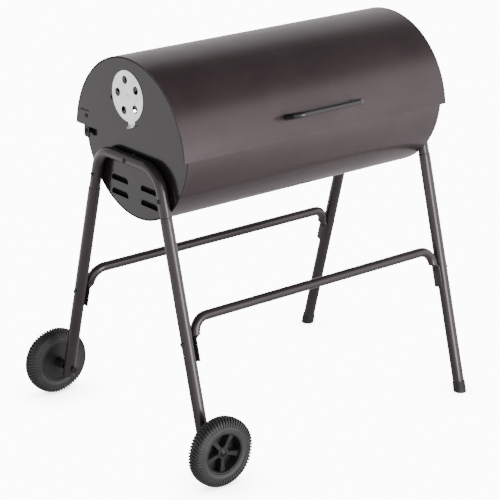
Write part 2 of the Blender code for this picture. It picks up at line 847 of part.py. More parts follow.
def yoke_bolt(end, index):
    """Holds the yoke to the bowl end: head outside, nut inside the bowl."""
    point = frame_bolt_points(end)[index]
    start = Vector((end * (LEG_X + UPPER_R + GAP + FRAME_HEAD[0]), point.y, point.z))
    grip = GAP + LEG_X + UPPER_R - BOWL_HALF + SHEET + GAP
    bm = bolt_bm(start, (-end, 0, 0), FRAME_HEAD, FRAME_SHANK_R, grip, FRAME_NUT, BOLT_SIDES)
    place = ("top", "front", "rear")[index]
    return shade(link_mesh(f"yoke_bolt_{place}_{end_name(end)}", bm, dark_steel()))


def lower_leg(end, side):
    down = leg_down(side)
    start = leg_point(end, side, SEAM_Z)
    if end == LEFT:
        stop = leg_point(end, side, WHEEL_LEG_END_Z)
    else:
        stop = leg_point(end, side, 0.0) - down * FOOT_GAP
    full = [(point, down, LOWER_R, LOWER_R) for point in (start, stop)]
    name = f"leg_{side_name(side)}_{end_name(end)}"
    wall = LOWER_R - UPPER_R - GAP
    obj = link_mesh(name, tube_bm(full, Vector((1, 0, 0)), TUBE_SIDES, wall), leg_paint())
    across = LOWER_R * 3
    holes = [hole(leg_point(end, side, BRACE_BOLT_Z), (1, 0, 0), across, FRAME_HOLE_R, HOLE_SIDES)]
    if end == LEFT:
        holes.append(hole(leg_point(end, side, WHEEL_R), (0, 1, 0), across, AXLE_BORE, HOLE_SIDES))
    cut(obj, holes, "bolt_holes")
    return shade(obj)


def foot_cap(side):
    """A cap over the lower end of a leg, flat on the floor."""
    up = -leg_down(side)
    ground = leg_point(RIGHT, side, 0.0)
    name = f"foot_cap_{side_name(side)}"
    steps = [(-0.012, CAP_R), (CAP_TOP - 0.0015, CAP_R), (CAP_TOP, CAP_R - 0.0010)]
    obj = link_mesh(name, stepped_bm(ground, up, steps, HUB_SIDES), cap_black())
    bore = rod_bm(ground + up * CAP_FLOOR, ground + up * (CAP_TOP + 0.01), LOWER_R + GAP, HUB_SIDES)
    below = box_bm((ground.x - 0.05, ground.y - 0.05, -0.05), (ground.x + 0.05, ground.y + 0.05, 0.0))
    cut(obj, [below], "floor")
    cut(obj, [bore], "bore")
    return shade(obj)


# ---------------------------------------------------------------- braces
def brace(side):
    """A long rail between the two ends, bent down and flattened where it meets each leg."""
    down = leg_down(side)
    bend_x = LEG_X - LOWER_R - GAP - BRACE_R
    normal = Vector((1, 0, 0)).cross(down).normalized()
    y = side * leg_y(BRACE_Z)
    stations = []
    for end in (LEFT, RIGHT):
        along = Vector((end, 0, 0))
        corner = Vector((end * bend_x, y, BRACE_Z))
        run = [(p, t, BRACE_R, BRACE_R) for p, t in arc_points(corner, along, down, BRACE_BEND, 4)]
        last = run[-1][0]
        reach = (last.z - BRACE_END_Z) / -down.z
        for share, flatness in BRACE_FLATTENING:
            across = BRACE_R + (BRACE_FLAT_WIDE - BRACE_R) * flatness
            within = BRACE_R + (BRACE_FLAT_THICK - BRACE_R) * flatness
            shift = along * (BRACE_R - within)
            run.append((last + down * (reach * share) + shift, down, across, within))
        if end == LEFT:
            run = [(p, -t, a, w) for p, t, a, w in reversed(run)]
        stations += run
    bm = tube_bm(stations, normal, BRACE_SIDES, TUBE_WALL)
    obj = link_mesh(f"brace_{side_name(side)}", bm, leg_paint())
    holes = []
    for end in (LEFT, RIGHT):
        point = leg_point(end, side, BRACE_BOLT_Z)
        flat_x = LEG_X - LOWER_R - GAP - BRACE_FLAT_THICK
        holes.append(hole((end * flat_x, point.y, point.z), (1, 0, 0), THROUGH, FRAME_HOLE_R, HOLE_SIDES))
    cut(obj, holes, "bolt_holes")
    return shade(obj)


def brace_bolt(end, side):
    """Holds a brace to its leg: head on the inboard side, nut outside."""
    point = leg_point(end, side, BRACE_BOLT_Z)
    inner = LEG_X - LOWER_R - GAP - 2 * BRACE_FLAT_THICK
    start = Vector((end * (inner - GAP - FRAME_HEAD[0]), point.y, point.z))
    grip = GAP + (LEG_X + LOWER_R - inner) + GAP
    bm = bolt_bm(start, (end, 0, 0), FRAME_HEAD, FRAME_SHANK_R, grip, FRAME_NUT, BOLT_SIDES)
    return shade(link_mesh(f"brace_bolt_{side_name(side)}_{end_name(end)}", bm, dark_steel()))


# ---------------------------------------------------------------- wheels
def wheel_centre(side):
    return Vector((WHEEL_X, side * WHEEL_Y, WHEEL_R))


def tyre(side):
    profile = [
        (-TYRE_HALF, TYRE_SIDE_R), (-TYRE_HALF * 0.93, TYRE_SHOULDER_R),
        (-TYRE_HALF * 0.70, WHEEL_R - 0.0012), (0.0, WHEEL_R), (TYRE_HALF * 0.70, WHEEL_R - 0.0012),
        (TYRE_HALF * 0.93, TYRE_SHOULDER_R), (TYRE_HALF, TYRE_SIDE_R), (TYRE_HALF * 0.88, TYRE_BEAD_R),
        (RIM_HALF, TYRE_BORE), (-RIM_HALF, TYRE_BORE), (-TYRE_HALF * 0.88, TYRE_BEAD_R),
    ]
    bm = turned_ring_bm(wheel_centre(side), (0, side, 0), profile, TYRE_STEPS, 0.0)
    return shade(link_mesh(f"tyre_{side_name(side)}", bm, tyre_black()), 50.0)


def rim(side):
    """Hub, spokes, web and ring. The hub reaches inwards to the leg."""
    centre = wheel_centre(side)
    out = Vector((0, side, 0))
    outer = TYRE_BORE - GAP
    profile = [(-RIM_HALF, RING_BORE), (RIM_HALF, RING_BORE), (RIM_HALF, outer), (-RIM_HALF, outer)]
    bm = turned_ring_bm(centre, out, profile, RIM_STEPS, 0.0)
    obj = link_mesh(f"rim_{side_name(side)}", bm, hub_black())
    steps = [(0, HUB_R * 0.8), (HUB_IN * 0.6, HUB_R * 0.9)]
    steps += [(HUB_IN * 0.8, HUB_R), (HUB_IN + HUB_OUT, HUB_R)]
    hub = stepped_bm(centre - out * HUB_IN, out, steps, HUB_SIDES)
    spokes = []
    for i in range(SPOKES):
        angle = math.radians(90.0 + 360.0 * (i + 0.5) / SPOKES)
        ray = Vector((math.cos(angle), 0, math.sin(angle)))
        across = ray.cross(out)
        rings = []
        for reach, wide, deep in ((HUB_R * 0.6, 0.85, 0.008), (RING_BORE + 0.003, 1.25, 0.009)):
            middle = centre + ray * reach
            a = across * (SPOKE_WIDE / 2 * wide)
            d = out * deep
            rings.append([middle - a - d, middle + a - d, middle + a + d * 0.9, middle - a + d * 0.9])
        spokes.append(loft(rings))
    web_r = RING_BORE + GAP * 2
    web = stepped_bm(centre - out * WEB_HALF, out, [(0, web_r), (2 * WEB_HALF, web_r)], RIM_STEPS)
    join(obj, [hub], "hub")
    join(obj, [web], "web")
    for index, spoke in enumerate(spokes):
        join(obj, [spoke], f"spoke_{index}")
    cut(obj, [hole(centre, out, HUB_IN * 3, AXLE_BORE, HUB_SIDES)], "bore")
    return shade(obj)


def axle_bolt(side):
    """The stub axle: head outside the hub, nut behind the leg."""
    tip = leg_y(WHEEL_R) - LOWER_R - AXLE_NUT_BACK
    outer = WHEEL_Y + HUB_OUT
    start = Vector((WHEEL_X, side * (outer + GAP + AXLE_HEAD[0]), WHEEL_R))
    grip = GAP + outer - tip
    bm = bolt_bm(start, (0, -side, 0), AXLE_HEAD, AXLE_R, grip, AXLE_NUT, PIVOT_SIDES)
    return shade(link_mesh(f"axle_bolt_{side_name(side)}", bm, dark_steel()))


# ---------------------------------------------------------------- grids
def lattice(name, low, high, bar, slots_x, slots_y, material):
    """A flat grid of bars round rectangular openings."""
    x0, y0, z0 = low
    x1, y1, z1 = high
    pitch_x = (x1 - x0 - bar) / slots_x
    pitch_y = (y1 - y0 - bar) / slots_y
    xs = []
    for i in range(slots_x + 1):
        xs += [x0 + pitch_x * i, x0 + pitch_x * i + bar]
    ys = []
    for i in range(slots_y + 1):
        ys += [y0 + pitch_y * i, y0 + pitch_y * i + bar]
    bm = bmesh.new()
    layers = []
    for z in (z0, z1):
        layers.append([[bm.verts.new((x, y, z)) for y in ys] for x in xs])
    bottom, top = layers
    last_x = len(xs) - 1
    last_y = len(ys) - 1

    def is_bar(i, j):
        inside = 0 <= i < last_x and 0 <= j < last_y
        return inside and (i % 2 == 0 or j % 2 == 0)

    for i in range(last_x):
        for j in range(last_y):
            if not is_bar(i, j):
                continue
            bm.faces.new((bottom[i][j], bottom[i][j + 1], bottom[i + 1][j + 1], bottom[i + 1][j]))
            bm.faces.new((top[i][j], top[i + 1][j], top[i + 1][j + 1], top[i][j + 1]))
            edges = (
                ((i, j), (i + 1, j), (i, j - 1)),
                ((i + 1, j), (i + 1, j + 1), (i + 1, j)),
                ((i + 1, j + 1), (i, j + 1), (i, j + 1)),
                ((i, j + 1), (i, j), (i - 1, j)),
            )
            for (ax, ay), (bx, by), (nx, ny) in edges:
                if not is_bar(nx, ny):
                    bm.faces.new((bottom[ax][ay], bottom[bx][by], top[bx][by], top[ax][ay]))
    return link_mesh(name, bm, material)


def cooking_grid(end):
    x0 = min(end * GRID_OUTER_X, end * GRID_INNER_X)
    x1 = max(end * GRID_OUTER_X, end * GRID_INNER_X)
    z0 = RAIL_TOP + GAP
    low = (x0, BOWL_Y - GRID_HALF_Y, z0)
    high = (x1, BOWL_Y + GRID_HALF_Y, z0 + GRID_THICK)
    return lattice(f"cooking_grid_{end_name(end)}", low, high, GRID_BAR, GRID_SLOTS, 2, bright_wire())


def charcoal_grate():
    low = (-GRATE_HALF_X, BOWL_Y - GRATE_HALF_Y, GRATE_Z)
    high = (GRATE_HALF_X, BOWL_Y + GRATE_HALF_Y, GRATE_Z + GRATE_THICK)
    return lattice("charcoal_grate", low, high, GRATE_BAR, GRATE_SLOTS_X, GRATE_SLOTS_Y, black_grate())


def grid_rail(side):
    """An angle strip along the bowl wall that carries the cooking grids."""
    wall = BOWL_Y + side * RAIL_WALL_Y
    inner = wall - side * RAIL_WIDE
    top = RAIL_TOP
    sheet = SHEET
    outline = [(wall, top), (inner, top), (inner, top - sheet), (wall - side * sheet, top - sheet)]
    outline += [(wall - side * sheet, top - RAIL_TALL), (wall, top - RAIL_TALL)]
    bm = prism_x_bm(outline, -RAIL_HALF, RAIL_HALF)
    return link_mesh(f"grid_rail_{side_name(side)}", bm, black_grate())


# ---------------------------------------------------------------- assembly
def parent_empty(name, location):
    obj = bpy.data.objects.new(name, None)
    obj.location = location
    bpy.context.scene.collection.objects.link(obj)
    return obj


def put_under(parent, objects):
    """Parents the objects and their cutters to an empty on a joint axis."""
    for obj in objects:
        tools = [m.object for m in obj.modifiers if m.type == "BOOLEAN"]
        for item in [obj] + tools:
            item.parent = parent
            item.matrix_parent_inverse = Matrix.Translation(-parent.location)


def move_to_origin():
    """Shifts everything along X so the origin is under the middle of the bounding box."""
    shift = Vector((-ORIGIN_X, 0, 0))
    for obj in bpy.context.scene.objects:
        if obj.parent is None:
            obj.location += shift


def clear_scene():
    for obj in list(bpy.data.objects):
        bpy.data.objects.remove(obj)
    for material in list(bpy.data.materials):
        bpy.data.materials.remove(material)


def build():
    clear_scene()
    bowl_shell()
    for end in (LEFT, RIGHT):
        bowl_end(end)
        yoke(end)
        for index in range(3):
            yoke_bolt(end, index)
        pivot_bolt(end)
        pivot_spacer(end)
        cooking_grid(end)
        for side in (FRONT, REAR):
            lower_leg(end, side)
            brace_bolt(end, side)
    for side in (FRONT, REAR):
        brace(side)
        foot_cap(side)
        axle_bolt(side)
        grid_rail(side)
    charcoal_grate()

    lid_parts = [lid_shell(), handle(), damper_rivet(), damper_stop()]
    for end in (LEFT, RIGHT):
        lid_parts += [lid_end(end), handle_screw(end), hinge_strap(end), strap_bolt(end)]
    put_under(parent_empty("lid_axis", Vector((0, PIVOT_Y, PIVOT_Z))), lid_parts)
    put_under(parent_empty("damper_axis", Vector((-LID_HALF, 0, DAMPER_Z))), [damper_disc()])
    for side in (FRONT, REAR):
        axis = parent_empty(f"wheel_axis_{side_name(side)}", wheel_centre(side))
        put_under(axis, [tyre(side), rim(side)])
    move_to_origin()


build()
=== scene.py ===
"""Finished look of a barrel charcoal grill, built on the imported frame.

Metres, +Z up. The barrel lies along X: wheels and damper at -X, handle at -Y.
"""

import json
import math

import bmesh
import bpy
from mathutils import Matrix, Vector


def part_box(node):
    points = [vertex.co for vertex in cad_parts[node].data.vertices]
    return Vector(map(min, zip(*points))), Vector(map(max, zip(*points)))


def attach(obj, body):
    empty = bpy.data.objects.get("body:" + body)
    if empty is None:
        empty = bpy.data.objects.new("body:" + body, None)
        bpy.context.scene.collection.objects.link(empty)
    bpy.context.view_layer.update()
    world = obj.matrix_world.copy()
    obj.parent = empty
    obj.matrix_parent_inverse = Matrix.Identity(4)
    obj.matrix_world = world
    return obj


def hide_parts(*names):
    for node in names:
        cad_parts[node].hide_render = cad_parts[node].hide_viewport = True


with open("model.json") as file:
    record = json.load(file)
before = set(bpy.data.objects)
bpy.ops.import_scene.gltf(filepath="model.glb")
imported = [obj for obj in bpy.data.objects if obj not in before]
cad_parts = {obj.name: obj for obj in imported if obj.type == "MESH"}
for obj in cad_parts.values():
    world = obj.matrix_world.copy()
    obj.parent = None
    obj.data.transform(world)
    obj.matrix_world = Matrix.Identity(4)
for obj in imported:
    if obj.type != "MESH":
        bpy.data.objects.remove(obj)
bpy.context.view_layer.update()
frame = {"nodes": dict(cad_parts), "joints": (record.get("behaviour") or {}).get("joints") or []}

ROOT = "bowl_and_legs"
LID = "lid"
DAMPER = "damper"
X_AXIS = Vector((1, 0, 0))
Y_AXIS = Vector((0, 1, 0))
Z_AXIS = Vector((0, 0, 1))
SHEET = 0.0015  # thickness of the barrel's sheet
GAP = 0.0003  # clearance between neighbouring pieces


# ---------------------------------------------------------------- node helpers
class Nodes:
    """Short calls for building one node tree."""

    def __init__(self, tree, place="Object"):
        self.tree = tree
        self.place = self.add("ShaderNodeTexCoord").outputs[place]

    def add(self, kind, **values):
        node = self.tree.nodes.new(kind)
        for key, value in values.items():
            setattr(node, key, value)
        return node

    def link(self, source, target):
        self.tree.links.new(source, target)

    def feed(self, target, value):
        if isinstance(value, bpy.types.NodeSocket):
            self.link(value, target)
        else:
            target.default_value = value

    def stretch(self, scale):
        node = self.add("ShaderNodeMapping")
        node.inputs["Scale"].default_value = scale
        self.link(self.place, node.inputs["Vector"])
        return node.outputs["Vector"]

    def noise(self, scale, detail=4.0, rough=0.55, where=None):
        node = self.add("ShaderNodeTexNoise")
        node.inputs["Scale"].default_value = scale
        node.inputs["Detail"].default_value = detail
        node.inputs["Roughness"].default_value = rough
        self.link(where or self.place, node.inputs["Vector"])
        return node.outputs["Fac"]

    def ramp(self, value, low, high, to_low=0.0, to_high=1.0):
        node = self.add("ShaderNodeMapRange")
        node.inputs["From Min"].default_value = low
        node.inputs["From Max"].default_value = high
        node.inputs["To Min"].default_value = to_low
        node.inputs["To Max"].default_value = to_high
        self.link(value, node.inputs["Value"])
        return node.outputs["Result"]

    def mix(self, factor, a, b):
        node = self.add("ShaderNodeMix", data_type="RGBA")
        self.feed(node.inputs[0], factor)
        self.feed(node.inputs[6], (*a, 1.0) if isinstance(a, tuple) else a)
        self.feed(node.inputs[7], (*b, 1.0) if isinstance(b, tuple) else b)
        return node.outputs[2]

    def math(self, operation, a, b):
        node = self.add("ShaderNodeMath", operation=operation)
        self.feed(node.inputs[0], a)
        self.feed(node.inputs[1], b)
        return node.outputs[0]

    def bump(self, height, strength, distance, after=None):
        node = self.add("ShaderNodeBump")
        node.inputs["Strength"].default_value = strength
        node.inputs["Distance"].default_value = distance
        self.link(height, node.inputs["Height"])
        if after is not None:
            self.link(after, node.inputs["Normal"])
        return node.outputs["Normal"]

    def edges(self, radius):
        """1 on sharp edges, 0 on flats."""
        bevel = self.add("ShaderNodeBevel", samples=4)
        bevel.inputs["Radius"].default_value = radius
        geometry = self.add("ShaderNodeNewGeometry")
        dot = self.add("ShaderNodeVectorMath", operation="DOT_PRODUCT")
        self.link(bevel.outputs["Normal"], dot.inputs[0])
        self.link(geometry.outputs["Normal"], dot.inputs[1])
        return self.ramp(dot.outputs["Value"], 0.995, 0.88)

    def facing(self, direction, towards):
        """1 where the unit direction points at the target, falling to -1 opposite it."""
        node = self.add("ShaderNodeVectorMath", operation="DOT_PRODUCT")
        self.link(direction, node.inputs[0])
        node.inputs[1].default_value = towards
        return node.outputs["Value"]

    def seen_by_camera(self, seen, unseen):
        """One value for the camera and another for light and reflections."""
        path = self.add("ShaderNodeLightPath")
        node = self.add("ShaderNodeMix", data_type="FLOAT")
        self.link(path.outputs["Is Camera Ray"], node.inputs[0])
        self.feed(node.inputs[2], unseen)
        self.feed(node.inputs[3], seen)
        return node.outputs[0]


class Surface(Nodes):
    """The node tree of one new material."""

    def __init__(self, name):
        self.material = bpy.data.materials.new(name)
        self.material.use_nodes = True
        super().__init__(self.material.node_tree)
        self.shader = self.tree.nodes["Principled BSDF"]

    def finish(self, colour, roughness, metallic, normal):
        self.feed(self.shader.inputs["Base Color"], colour)
        self.feed(self.shader.inputs["Roughness"], roughness)
        self.feed(self.shader.inputs["Metallic"], metallic)
        self.link(normal, self.shader.inputs["Normal"])
        return self.material


# ---------------------------------------------------------------- materials
CLOUD_SCALE = 7.0
SPECK_SCALE = 900.0
FINE_SCALE = 260.0
RUB_SCALE = 60.0
RUB_WIDTH = 0.0012
RUB_TONE = (0.20, 0.19, 0.185)
SMEAR_SCALE = 16.0
PEEL_SCALE = 420.0
PEEL_DEPTH = 0.00018
WAVE_SCALE = 38.0
WAVE_DEPTH = 0.0004
PLAIN_TINT = (1.0, 1.0, 1.0, 1.0)


def paint(name, base, light, rough, metallic=0.0, coat=0.0, peel=0.12, wear=0.35, coat_rough=0.12,
          tint=PLAIN_TINT):
    """Sprayed or powder-coated steel: cloudy tone, orange peel, edges rubbed lighter, dust in places."""
    n = Surface(name)
    tone = n.mix(n.ramp(n.noise(CLOUD_SCALE, 5.0), 0.34, 0.68), base, light)
    specks = n.ramp(n.noise(SPECK_SCALE, 2.0), 0.62, 0.74)
    speck_tone = tuple(min(1.0, c * 2.6 + 0.02) for c in light)
    tone = n.mix(n.math("MULTIPLY", specks, 0.10), tone, speck_tone)
    rubbed = n.math("MULTIPLY", n.edges(RUB_WIDTH), n.ramp(n.noise(RUB_SCALE, 4.0), 0.42, 0.62))
    tone = n.mix(n.math("MULTIPLY", rubbed, wear), tone, RUB_TONE)
    smear = n.noise(SMEAR_SCALE, 6.0, 0.65, n.stretch((1.0, 3.0, 3.0)))
    smeared = n.ramp(smear, 0.3, 0.7, rough - 0.035, rough + 0.045)
    roughness = n.math("ADD", smeared, n.math("MULTIPLY", n.noise(FINE_SCALE, 3.0), 0.03))
    orange_peel = n.bump(n.noise(PEEL_SCALE, 2.0), peel, PEEL_DEPTH)
    normal = n.bump(n.noise(WAVE_SCALE, 2.0), peel * 0.5, WAVE_DEPTH, orange_peel)
    n.feed(n.shader.inputs["Specular Tint"], tint)
    n.feed(n.shader.inputs["Coat Weight"], coat)
    n.feed(n.shader.inputs["Coat Roughness"], coat_rough)
    return n.finish(tone, roughness, metallic, normal)


SCRATCH_SCALE = 420.0
SCRATCH_DEPTH = 0.0001
PATCH_SCALE = 34.0
METAL_EDGE = 0.0008


def bare_metal(name, base, dark, rough, stretch, wear, scratch):
    """Plated or dark steel with fine directional scratches, dull patches and bright edges."""
    n = Surface(name)
    lines = n.noise(SCRATCH_SCALE, 4.0, 0.6, n.stretch(stretch))
    patches = n.noise(PATCH_SCALE, 6.0)
    tone = n.mix(n.ramp(patches, 0.36, 0.72), base, dark)
    bright = tuple(min(1.0, c * 1.5 + 0.05) for c in base)
    tone = n.mix(n.math("MULTIPLY", n.edges(METAL_EDGE), wear), tone, bright)
    patched = n.ramp(patches, 0.3, 0.7, rough - 0.06, rough + 0.08)
    roughness = n.math("ADD", patched, n.math("MULTIPLY", lines, 0.10))
    return n.finish(tone, roughness, 1.0, n.bump(lines, scratch, SCRATCH_DEPTH))


BLOOM_SCALE = 24.0
DUST_SCALE = 90.0
DUST_TONE = (0.11, 0.105, 0.10)
SCUFF_SCALE = 150.0
SCUFF_WIDTH = 0.0010
SCUFF_TONE = (0.10, 0.10, 0.10)
SCUFF_WEAR = 0.25
GRAIN_DEPTH = 0.00025


def moulded(name, base, light, rough, grain, grain_scale):
    """Moulded rubber or plastic: fine grain, dusty bloom and scuffed edges."""
    n = Surface(name)
    bloom = n.noise(BLOOM_SCALE, 5.0)
    tone = n.mix(n.ramp(bloom, 0.35, 0.7), base, light)
    dust = n.math("MULTIPLY", n.ramp(n.noise(DUST_SCALE, 6.0, 0.7), 0.5, 0.8), 0.16)
    tone = n.mix(dust, tone, DUST_TONE)
    scuffed = n.math("MULTIPLY", n.edges(SCUFF_WIDTH), n.ramp(n.noise(SCUFF_SCALE, 3.0), 0.4, 0.65))
    tone = n.mix(n.math("MULTIPLY", scuffed, SCUFF_WEAR), tone, SCUFF_TONE)
    roughness = n.ramp(bloom, 0.3, 0.7, rough - 0.06, rough + 0.07)
    return n.finish(tone, roughness, 0.0, n.bump(n.noise(grain_scale, 3.0), grain, GRAIN_DEPTH))


BARREL = paint("barrel_coat", (0.024, 0.0160, 0.0172), (0.036, 0.0245, 0.0262), 0.30,
               metallic=0.20, coat=0.30, tint=(1.0, 0.80, 0.86, 1.0))
ENDS = paint("end_coat", (0.0080, 0.0070, 0.0072), (0.0135, 0.0120, 0.0123), 0.14,
             metallic=0.15, coat=0.15, peel=0.05, wear=0.3, coat_rough=0.05, tint=(0.84, 0.77, 0.79, 1.0))
LEGS = paint("leg_coat", (0.022, 0.0180, 0.0187), (0.034, 0.0280, 0.0290), 0.24,
             metallic=0.20, coat=0.30, peel=0.14, wear=0.5, tint=(1.0, 0.88, 0.92, 1.0))
HANDLE = paint("handle_enamel", (0.008, 0.0075, 0.0080), (0.015, 0.0142, 0.0146), 0.17,
               coat=0.2, peel=0.05, wear=0.5)
ENAMEL = paint("matt_enamel", (0.022, 0.0210, 0.0205), (0.045, 0.0420, 0.0400), 0.52, peel=0.30, wear=0.7)
ZINC = bare_metal("zinc_sheet", (0.97, 0.97, 0.96), (0.86, 0.86, 0.85), 0.27, (1.0, 14.0, 1.0), 0.3, 0.10)
WIRE = bare_metal("plated_wire", (0.72, 0.72, 0.71), (0.50, 0.49, 0.47), 0.24, (1.0, 1.0, 1.0), 0.2, 0.08)
BOLTS = bare_metal("dark_fastener", (0.045, 0.044, 0.043), (0.024, 0.0235, 0.023), 0.34,
                   (1.0, 1.0, 1.0), 0.6, 0.15)
STRAPS = bare_metal("dark_strap", (0.040, 0.039, 0.038), (0.022, 0.021, 0.021), 0.40,
                    (1.0, 1.0, 12.0), 0.6, 0.15)
TYRE = moulded("tyre_rubber", (0.025, 0.0248, 0.0250), (0.044, 0.0436, 0.0436), 0.55, 0.35, 500.0)
HUB = moulded("wheel_plastic", (0.010, 0.010, 0.0102), (0.018, 0.018, 0.0182), 0.36, 0.20, 700.0)
CAP = moulded("cap_rubber", (0.008, 0.008, 0.0082), (0.015, 0.0149, 0.0148), 0.58, 0.25, 600.0)


# ---------------------------------------------------------------- mesh helpers
def finish_piece(name, bm, material, body, node, sharp=32.0, merge=True):
    """A finished piece on its body, in the place of one CAD node."""
    if merge:
        bmesh.ops.remove_doubles(bm, verts=bm.verts, dist=1e-6)
    bmesh.ops.recalc_face_normals(bm, faces=bm.faces)
    mesh = bpy.data.meshes.new(name)
    bm.to_mesh(mesh)
    bm.free()
    obj = bpy.data.objects.new(name, mesh)
    bpy.context.scene.collection.objects.link(obj)
    mesh.materials.append(material)
    mesh.shade_smooth()
    mesh.set_sharp_from_angle(angle=math.radians(sharp))
    flats = obj.modifiers.new("flats", "WEIGHTED_NORMAL")
    flats.keep_sharp = True
    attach(obj, body)
    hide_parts(node)


def loft(bm, rings, closed=False):
    """Faces between neighbouring rings of points; the two ends are filled, or joined if closed."""
    rows = [[bm.verts.new(p) for p in ring] for ring in rings]
    count = len(rows[0])
    pairs = list(zip(rows, rows[1:]))
    if closed:
        pairs.append((rows[-1], rows[0]))
    for low, high in pairs:
        for i in range(count):
            j = (i + 1) % count
            bm.faces.new((low[i], low[j], high[j], high[i]))
    if not closed:
        bm.faces.new(rows[0])
        bm.faces.new(rows[-1])


def square_to(direction):
    side = direction.orthogonal().normalized()
    return side, direction.cross(side)


def ring(centre, side, up, r_side, r_up, count):
    points = []
    for i in range(count):
        angle = 2 * math.pi * i / count
        points.append(centre + side * (r_side * math.cos(angle)) + up * (r_up * math.sin(angle)))
    return points


def lathe(bm, start, direction, profile, count, side=None):
    """A closed outline of (distance, radius) turned about a line; radius 0 closes on the line."""
    direction = direction.normalized()
    if side is None:
        side, up = square_to(direction)
    else:
        up = direction.cross(side)
    rows = []
    for along, radius in profile:
        centre = start + direction * along
        if radius <= 0.0:
            rows.append([bm.verts.new(centre)])
        else:
            rows.append([bm.verts.new(p) for p in ring(centre, side, up, radius, radius, count)])
    pairs = list(zip(rows, rows[1:]))
    if len(rows[0]) > 1 and len(rows[-1]) > 1:
        pairs.append((rows[-1], rows[0]))
    for low, high in pairs:
        for i in range(count):
            j = (i + 1) % count
            if len(low) == 1:
                bm.faces.new((low[0], high[j], high[i]))
            elif len(high) == 1:
                bm.faces.new((low[i], low[j], high[0]))
            else:
                bm.faces.new((low[i], low[j], high[j], high[i]))


def block(bm, low, high):
    x0, y0, z0 = low
    x1, y1, z1 = high
    ends = []
    for z in (z0, z1):
        ends.append([Vector(p) for p in ((x0, y0, z), (x1, y0, z), (x1, y1, z), (x0, y1, z))])
    loft(bm, ends)


def sweep(bm, stations, normal, sides, wall):
    """A tube along (point, tangent, radius across, radius in plane) stations; wall 0 makes a rod."""
    outer = []
    inner = []
    for point, tangent, across, within in stations:
        side = tangent.cross(normal).normalized()
        outer.append(ring(point, normal, side, across, within, sides))
        if wall:
            inner.append(ring(point, normal, side, across - wall, within - wall, sides))
    if wall:
        loft(bm, outer + inner[::-1], closed=True)
    else:
        loft(bm, outer)


def bend(corner, incoming, outgoing, radius, steps):
    """(point, tangent) pairs round a corner."""
    turn = incoming.angle(outgoing)
    reach = radius * math.tan(turn / 2)
    normal = incoming.cross(outgoing).normalized()
    inward = normal.cross(incoming)
    centre = corner - incoming * reach + inward * radius
    points = []
    for i in range(steps + 1):
        spin = Matrix.Rotation(turn * i / steps, 3, normal)
        points.append((centre - spin @ inward * radius, spin @ incoming))
    return points


def loose(bm):
    """A helper object for one Boolean step."""
    bmesh.ops.recalc_face_normals(bm, faces=bm.faces)
    mesh = bpy.data.meshes.new("tool")
    bm.to_mesh(mesh)
    bm.free()
    obj = bpy.data.objects.new("tool", mesh)
    bpy.context.scene.collection.objects.link(obj)
    return obj


def carve(bm, tools, operation="DIFFERENCE"):
    """The solid in bm cut by, or joined to, each tool in turn."""
    base = loose(bm)
    helpers = [loose(tool) for tool in tools]
    for helper in helpers:
        modifier = base.modifiers.new("step", "BOOLEAN")
        modifier.operation = operation
        modifier.solver = "EXACT"
        modifier.object = helper
    result = bmesh.new()
    result.from_object(base, bpy.context.evaluated_depsgraph_get())
    for obj in [base] + helpers:
        mesh = obj.data
        bpy.data.objects.remove(obj)
        bpy.data.meshes.remove(mesh)
    return result


def drill(point, direction, length, radius, sides=32):
    """A round cutter centred on a point."""
    bm = bmesh.new()
    half = direction.normalized() * (length / 2)
    side, up = square_to(direction.normalized())
    loft(bm, [ring(p, side, up, radius, radius, sides) for p in (point - half, point + half)])
    return bm


def middle(node):
    low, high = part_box(node)
    return (low + high) / 2


# ---------------------------------------------------------------- barrel measures
def arc_from(node, lid):
    """Radius, centre and half length of a shell, from the width and height of its box."""
    low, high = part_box(node)
    half = (high.y - low.y) / 2
    tall = high.z - low.z
    radius = (half * half + tall * tall) / (2 * tall)
    centre_z = high.z - radius if lid else low.z + radius
    return radius, Vector(((low.x + high.x) / 2, (low.y + high.y) / 2, centre_z)), (high.x - low.x) / 2


LID_R, LID_C, LID_HALF = arc_from("lid_shell", True)
BOWL_R, BOWL_C, BOWL_HALF = arc_from("bowl_shell", False)
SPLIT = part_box("lid_shell")[0].z
DAMPER_AXIS = Vector(next(j for j in frame["joints"] if j["name"] == "damper_turn")["pos_m"])

LID_HEM = 0.006
BOWL_HEM = 0.005
HEM_FOLD = 0.0011
HEM_SLOPE = 0.0025
HEM_CLEAR = 0.004
SHELL_EDGE = 0.0004
SHELL_STEPS = 120


def shell(name, body, node, radius, centre, half, first, last, hem):
    """A rolled sheet with a folded hem along both long edges."""
    inner = radius - SHEET
    folded = inner - HEM_FOLD
    low = first + hem / radius
    high = last - hem / radius
    stations = [(first, folded), (low, folded), (low + HEM_SLOPE, inner)]
    for i in range(SHELL_STEPS + 1):
        angle = first + (last - first) * (i / SHELL_STEPS)
        if low + HEM_CLEAR < angle < high - HEM_CLEAR:
            stations.append((angle, inner))
    stations += [(high - HEM_SLOPE, inner), (high, folded), (last, folded)]
    rings = []
    for angle, inside in stations:
        out = Vector((0, math.cos(angle), math.sin(angle)))
        outline = [(-half, radius - SHELL_EDGE), (-half + SHELL_EDGE, radius), (half - SHELL_EDGE, radius)]
        outline += [(half, radius - SHELL_EDGE), (half, inside), (-half, inside)]
        rings.append([Vector((centre.x + x, centre.y, centre.z)) + out * r for x, r in outline])
    bm = bmesh.new()
    loft(bm, rings)
    finish_piece(name, bm, BARREL, body, node, 40.0)


def shells():
    rise = math.asin((SPLIT - LID_C.z) / LID_R)
    shell("lid_skin", LID, "lid_shell", LID_R, LID_C, LID_HALF, rise, math.pi - rise, LID_HEM)
    drop = math.asin((BOWL_C.z - SPLIT) / BOWL_R)
    first, last = math.pi + drop, 2 * math.pi - drop
    shell("bowl_skin", ROOT, "bowl_shell", BOWL_R, BOWL_C, BOWL_HALF, first, last, BOWL_HEM)


